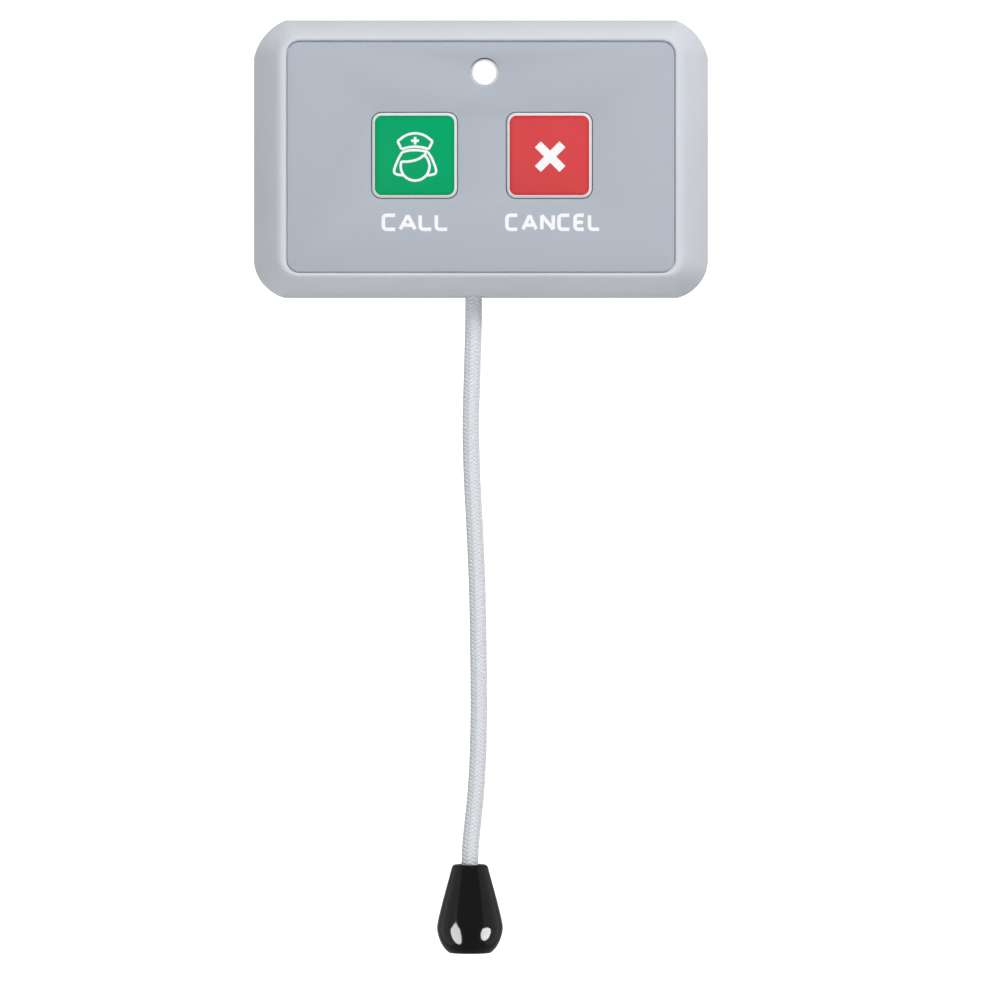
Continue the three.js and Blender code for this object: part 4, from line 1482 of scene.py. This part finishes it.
@dataclass
class Works:
    """The pieces inside the case, which keep their CAD shapes and get their finishes."""

    jacket_half: float = 12.6 * MM
    finishes: dict[str, tuple[str, ...]] = field(
        default_factory=lambda: {
            "black": (
                "call_switch_plunger", "cancel_switch_plunger", "controller_chip", "capacitor_1",
                "capacitor_2", "resistor_1", "resistor_2", "resistor_3", "pull_switch",
            ),
            "steel": (
                "call_switch", "cancel_switch", "oscillator_can", "battery_contact_plate",
                "battery_contact_spring", "switch_lever", "board_screw_1", "board_screw_2",
            ),
            "copper": ("antenna_coil",),
            "grey": ("pull_slider",),
            "red": ("switch_button",),
            "board": ("circuit_board",),
            "battery": ("battery",),
        }
    )

    def materials(self) -> dict[str, bpy.types.Material]:
        """Each finish by its name."""
        low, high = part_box("battery")
        middle = (low[2] + high[2]) / 2
        return {
            "black": MouldedPlastic("component_black", srgb(30, 30, 32), roughness=0.45).make(),
            "steel": PlatedMetal("contact_steel", srgb(196, 198, 202)).make(),
            "copper": PlatedMetal("antenna_copper", srgb(196, 124, 74)).make(),
            "grey": MouldedPlastic("slider_grey", srgb(140, 145, 151), roughness=0.35).make(),
            "red": MouldedPlastic("button_red", srgb(190, 52, 48), roughness=0.35).make(),
            "board": SolderMask("board_mask", srgb(24, 92, 52), srgb(44, 126, 70)).make(),
            "battery": BatteryJacket(
                "battery_jacket", srgb(86, 94, 108), srgb(205, 207, 211), middle, self.jacket_half
            ).make(),
        }

    def build(self) -> None:
        """Dresses the nodes."""
        made = self.materials()
        for finish, nodes in self.finishes.items():
            for node in nodes:
                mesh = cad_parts[node].data
                mesh.materials.clear()
                mesh.materials.append(made[finish])
                LOG.info("%s is finished in %s", node, finish)


# Studio


@dataclass
class Softbox:
    """A soft elliptic area light aimed at the object."""

    name: str
    offset: tuple[float, float, float]
    width: float
    height: float
    power: float

    def build(self, target: Vector) -> bpy.types.Object:
        """Hangs the light where it is out of the picture.

        Args:
            target: The point it is aimed at.

        Returns:
            The light.
        """
        light = bpy.data.lights.new(self.name, "AREA")
        light.shape = "ELLIPSE"
        light.size = self.width
        light.size_y = self.height
        light.energy = self.power
        lamp = bpy.data.objects.new(self.name, light)
        lamp.location = target + Vector(self.offset)
        lamp.visible_camera = False
        lamp.rotation_euler = (-Vector(self.offset)).to_track_quat("-Z", "Y").to_euler()
        bpy.context.scene.collection.objects.link(lamp)
        return lamp


@dataclass
class Studio:
    """Camera, lights, backdrop and surroundings."""

    distance: float = 1.335
    lens: float = 251.8
    sensor: float = 36.0
    sight: float = 20.0
    centre_x: float = 3.6 * MM
    centre_z: float = -64.7 * MM
    floor: float = -1.2
    wall: float = 2.4
    sweep: float = 0.5
    sweep_steps: int = 16
    glow_rise: float = 0.3
    reach: float = 6.0
    surroundings: float = 0.3
    lights: tuple[Softbox, ...] = (
        Softbox("key_light", (0.75, -1.4, 1.6), 0.9, 0.9, 34.0),
        Softbox("fill_light", (-0.6, -2.2, -0.35), 1.6, 1.6, 13.0),
    )
    knob_middle: tuple[float, float, float] = (-2.1 * MM, -8.0 * MM, -145.7 * MM)
    knob_lights: tuple[Softbox, ...] = (
        Softbox("left_glint", (-0.228, -0.174, -0.09), 0.2, 0.4, 4.6),
        Softbox("right_glint", (0.249, -0.144, -0.087), 0.2, 0.24, 3.2),
        Softbox("left_panel", (-1.0, -0.05, 0.0), 1.6, 2.0, 3.2),
        Softbox("right_panel", (1.0, -0.05, 0.0), 1.6, 2.0, 3.0),
    )

    def camera(self) -> None:
        """Sets the camera straight in front, level, with a long lens."""
        data = bpy.data.cameras.new("camera")
        data.lens = self.lens
        data.sensor_width = self.sensor
        data.clip_end = self.sight
        camera = bpy.data.objects.new("camera", data)
        camera.location = (self.centre_x, -self.distance, self.centre_z)
        camera.rotation_euler = (math.pi / 2, 0, 0)
        bpy.context.scene.collection.objects.link(camera)
        bpy.context.scene.camera = camera

    def backdrop(self) -> None:
        """A sheet of white paper that runs from the floor up behind the object."""
        bpy.ops.mesh.primitive_plane_add(size=1, location=(0, 0, 0))
        paper = bpy.context.object
        paper.name = "backdrop"
        paper.scale = (2 * self.reach, self.reach, 1)
        paper.location = (0, self.wall - self.sweep - self.reach / 2, self.floor)
        activate(paper)
        bpy.ops.object.transform_apply(location=True, rotation=True, scale=True)
        far = self.wall - self.sweep
        with editing(paper, "EDGE"):
            select_where(
                paper, "edges", lambda edge: all(abs(vert.co.y - far) < 1e-4 for vert in edge.verts)
            )
            bpy.ops.mesh.spin(
                steps=self.sweep_steps,
                angle=-math.pi / 2,
                center=(0, far, self.floor + self.sweep),
                axis=(1, 0, 0),
            )
            bpy.ops.mesh.extrude_edges_move(TRANSFORM_OT_translate={"value": (0, 0, self.reach)})
        settle(paper, 60.0)
        white = StageWhite("paper_white", self.floor + self.glow_rise, self.floor + self.sweep)
        paper.data.materials.append(white.make())
        paper.visible_glossy = False

    def light(self) -> None:
        """Hangs the lights and sets the even light of the room."""
        target = Vector((0, 0, self.centre_z / 2))
        for softbox in self.lights:
            softbox.build(target).visible_glossy = False
        world = bpy.data.worlds.new("room")
        world.use_nodes = True
        background = world.node_tree.nodes["Background"]
        background.inputs["Color"].default_value = (1.0, 1.0, 1.0, 1.0)
        background.inputs["Strength"].default_value = self.surroundings
        bpy.context.scene.world = world
        bpy.context.scene.view_settings.view_transform = "Standard"

    def glint(self, knob: bpy.types.Object) -> None:
        """Hangs the lights that only the knob's polish mirrors."""
        only = bpy.data.collections.new("polished")
        only.objects.link(knob)
        for softbox in self.knob_lights:
            lamp = softbox.build(Vector(self.knob_middle))
            lamp.visible_diffuse = False
            lamp.light_linking.receiver_collection = only

    def build(self) -> None:
        """Sets up the studio."""
        self.camera()
        self.backdrop()
        self.light()
        LOG.info("studio is set")


def build_keys() -> None:
    """Builds both keys, their signs and the words under them."""
    # The second colour of each key is the painted shade along the rim of its field.
    green = Key("call_button", "call", Body.CALL_KEY, "green_key", srgb(0, 163, 103), srgb(0, 150, 84))
    red = Key("cancel_button", "cancel", Body.CANCEL_KEY, "red_key", srgb(213, 72, 75), srgb(205, 56, 60))
    for key in (green, red):
        key.build()
    (call_x, call_z), face = green.place()
    (cancel_x, cancel_z), _ = red.place()
    sign_base = face + green.field_height
    key_print = Print(sign_base)
    ink = key_print.ink.make()
    figure = Attendant((call_x + 0.1 * MM, call_z))
    strokes = key_print.strokes("call_figure", figure.lines(), figure.line)
    plus = key_print.strokes("call_plus", figure.plus(), 0.5 * MM)
    cross = Cross((cancel_x + 0.15 * MM, cancel_z - 0.25 * MM), sign_base).build()
    for piece, body, slot in (
        (strokes, Body.CALL_KEY, "green_key"),
        (plus, Body.CALL_KEY, "green_key"),
        (cross, Body.CANCEL_KEY, "red_key"),
    ):
        dress(piece, ink, body)
    film_low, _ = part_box("face_overlay")
    film_print = Print(-film_low[1])
    words = (
        Lettering("CALL", (-12.36 * MM, -12.36 * MM)),
        Lettering("CANCEL", (13.6 * MM, -12.36 * MM), stretch=0.88, gap=0.39 * MM),
    )
    for word in words:
        piece = film_print.strokes(f"word_{word.word.lower()}", word.lines(), word.stroke)
        dress(piece, ink, Body.CASE)


def main() -> None:
    """Builds the studio and then the object's pieces in order."""
    logging.basicConfig(level=logging.INFO, format="%(message)s")
    studio = Studio()
    studio.build()
    knob = Knob().build()
    studio.glint(knob)
    PullCord().build([knob])
    Case().build()
    Screws().build()
    Lamp().build()
    build_keys()
    ReturnSpring().build()
    Works().build()


if __name__ == "__main__":
    main()
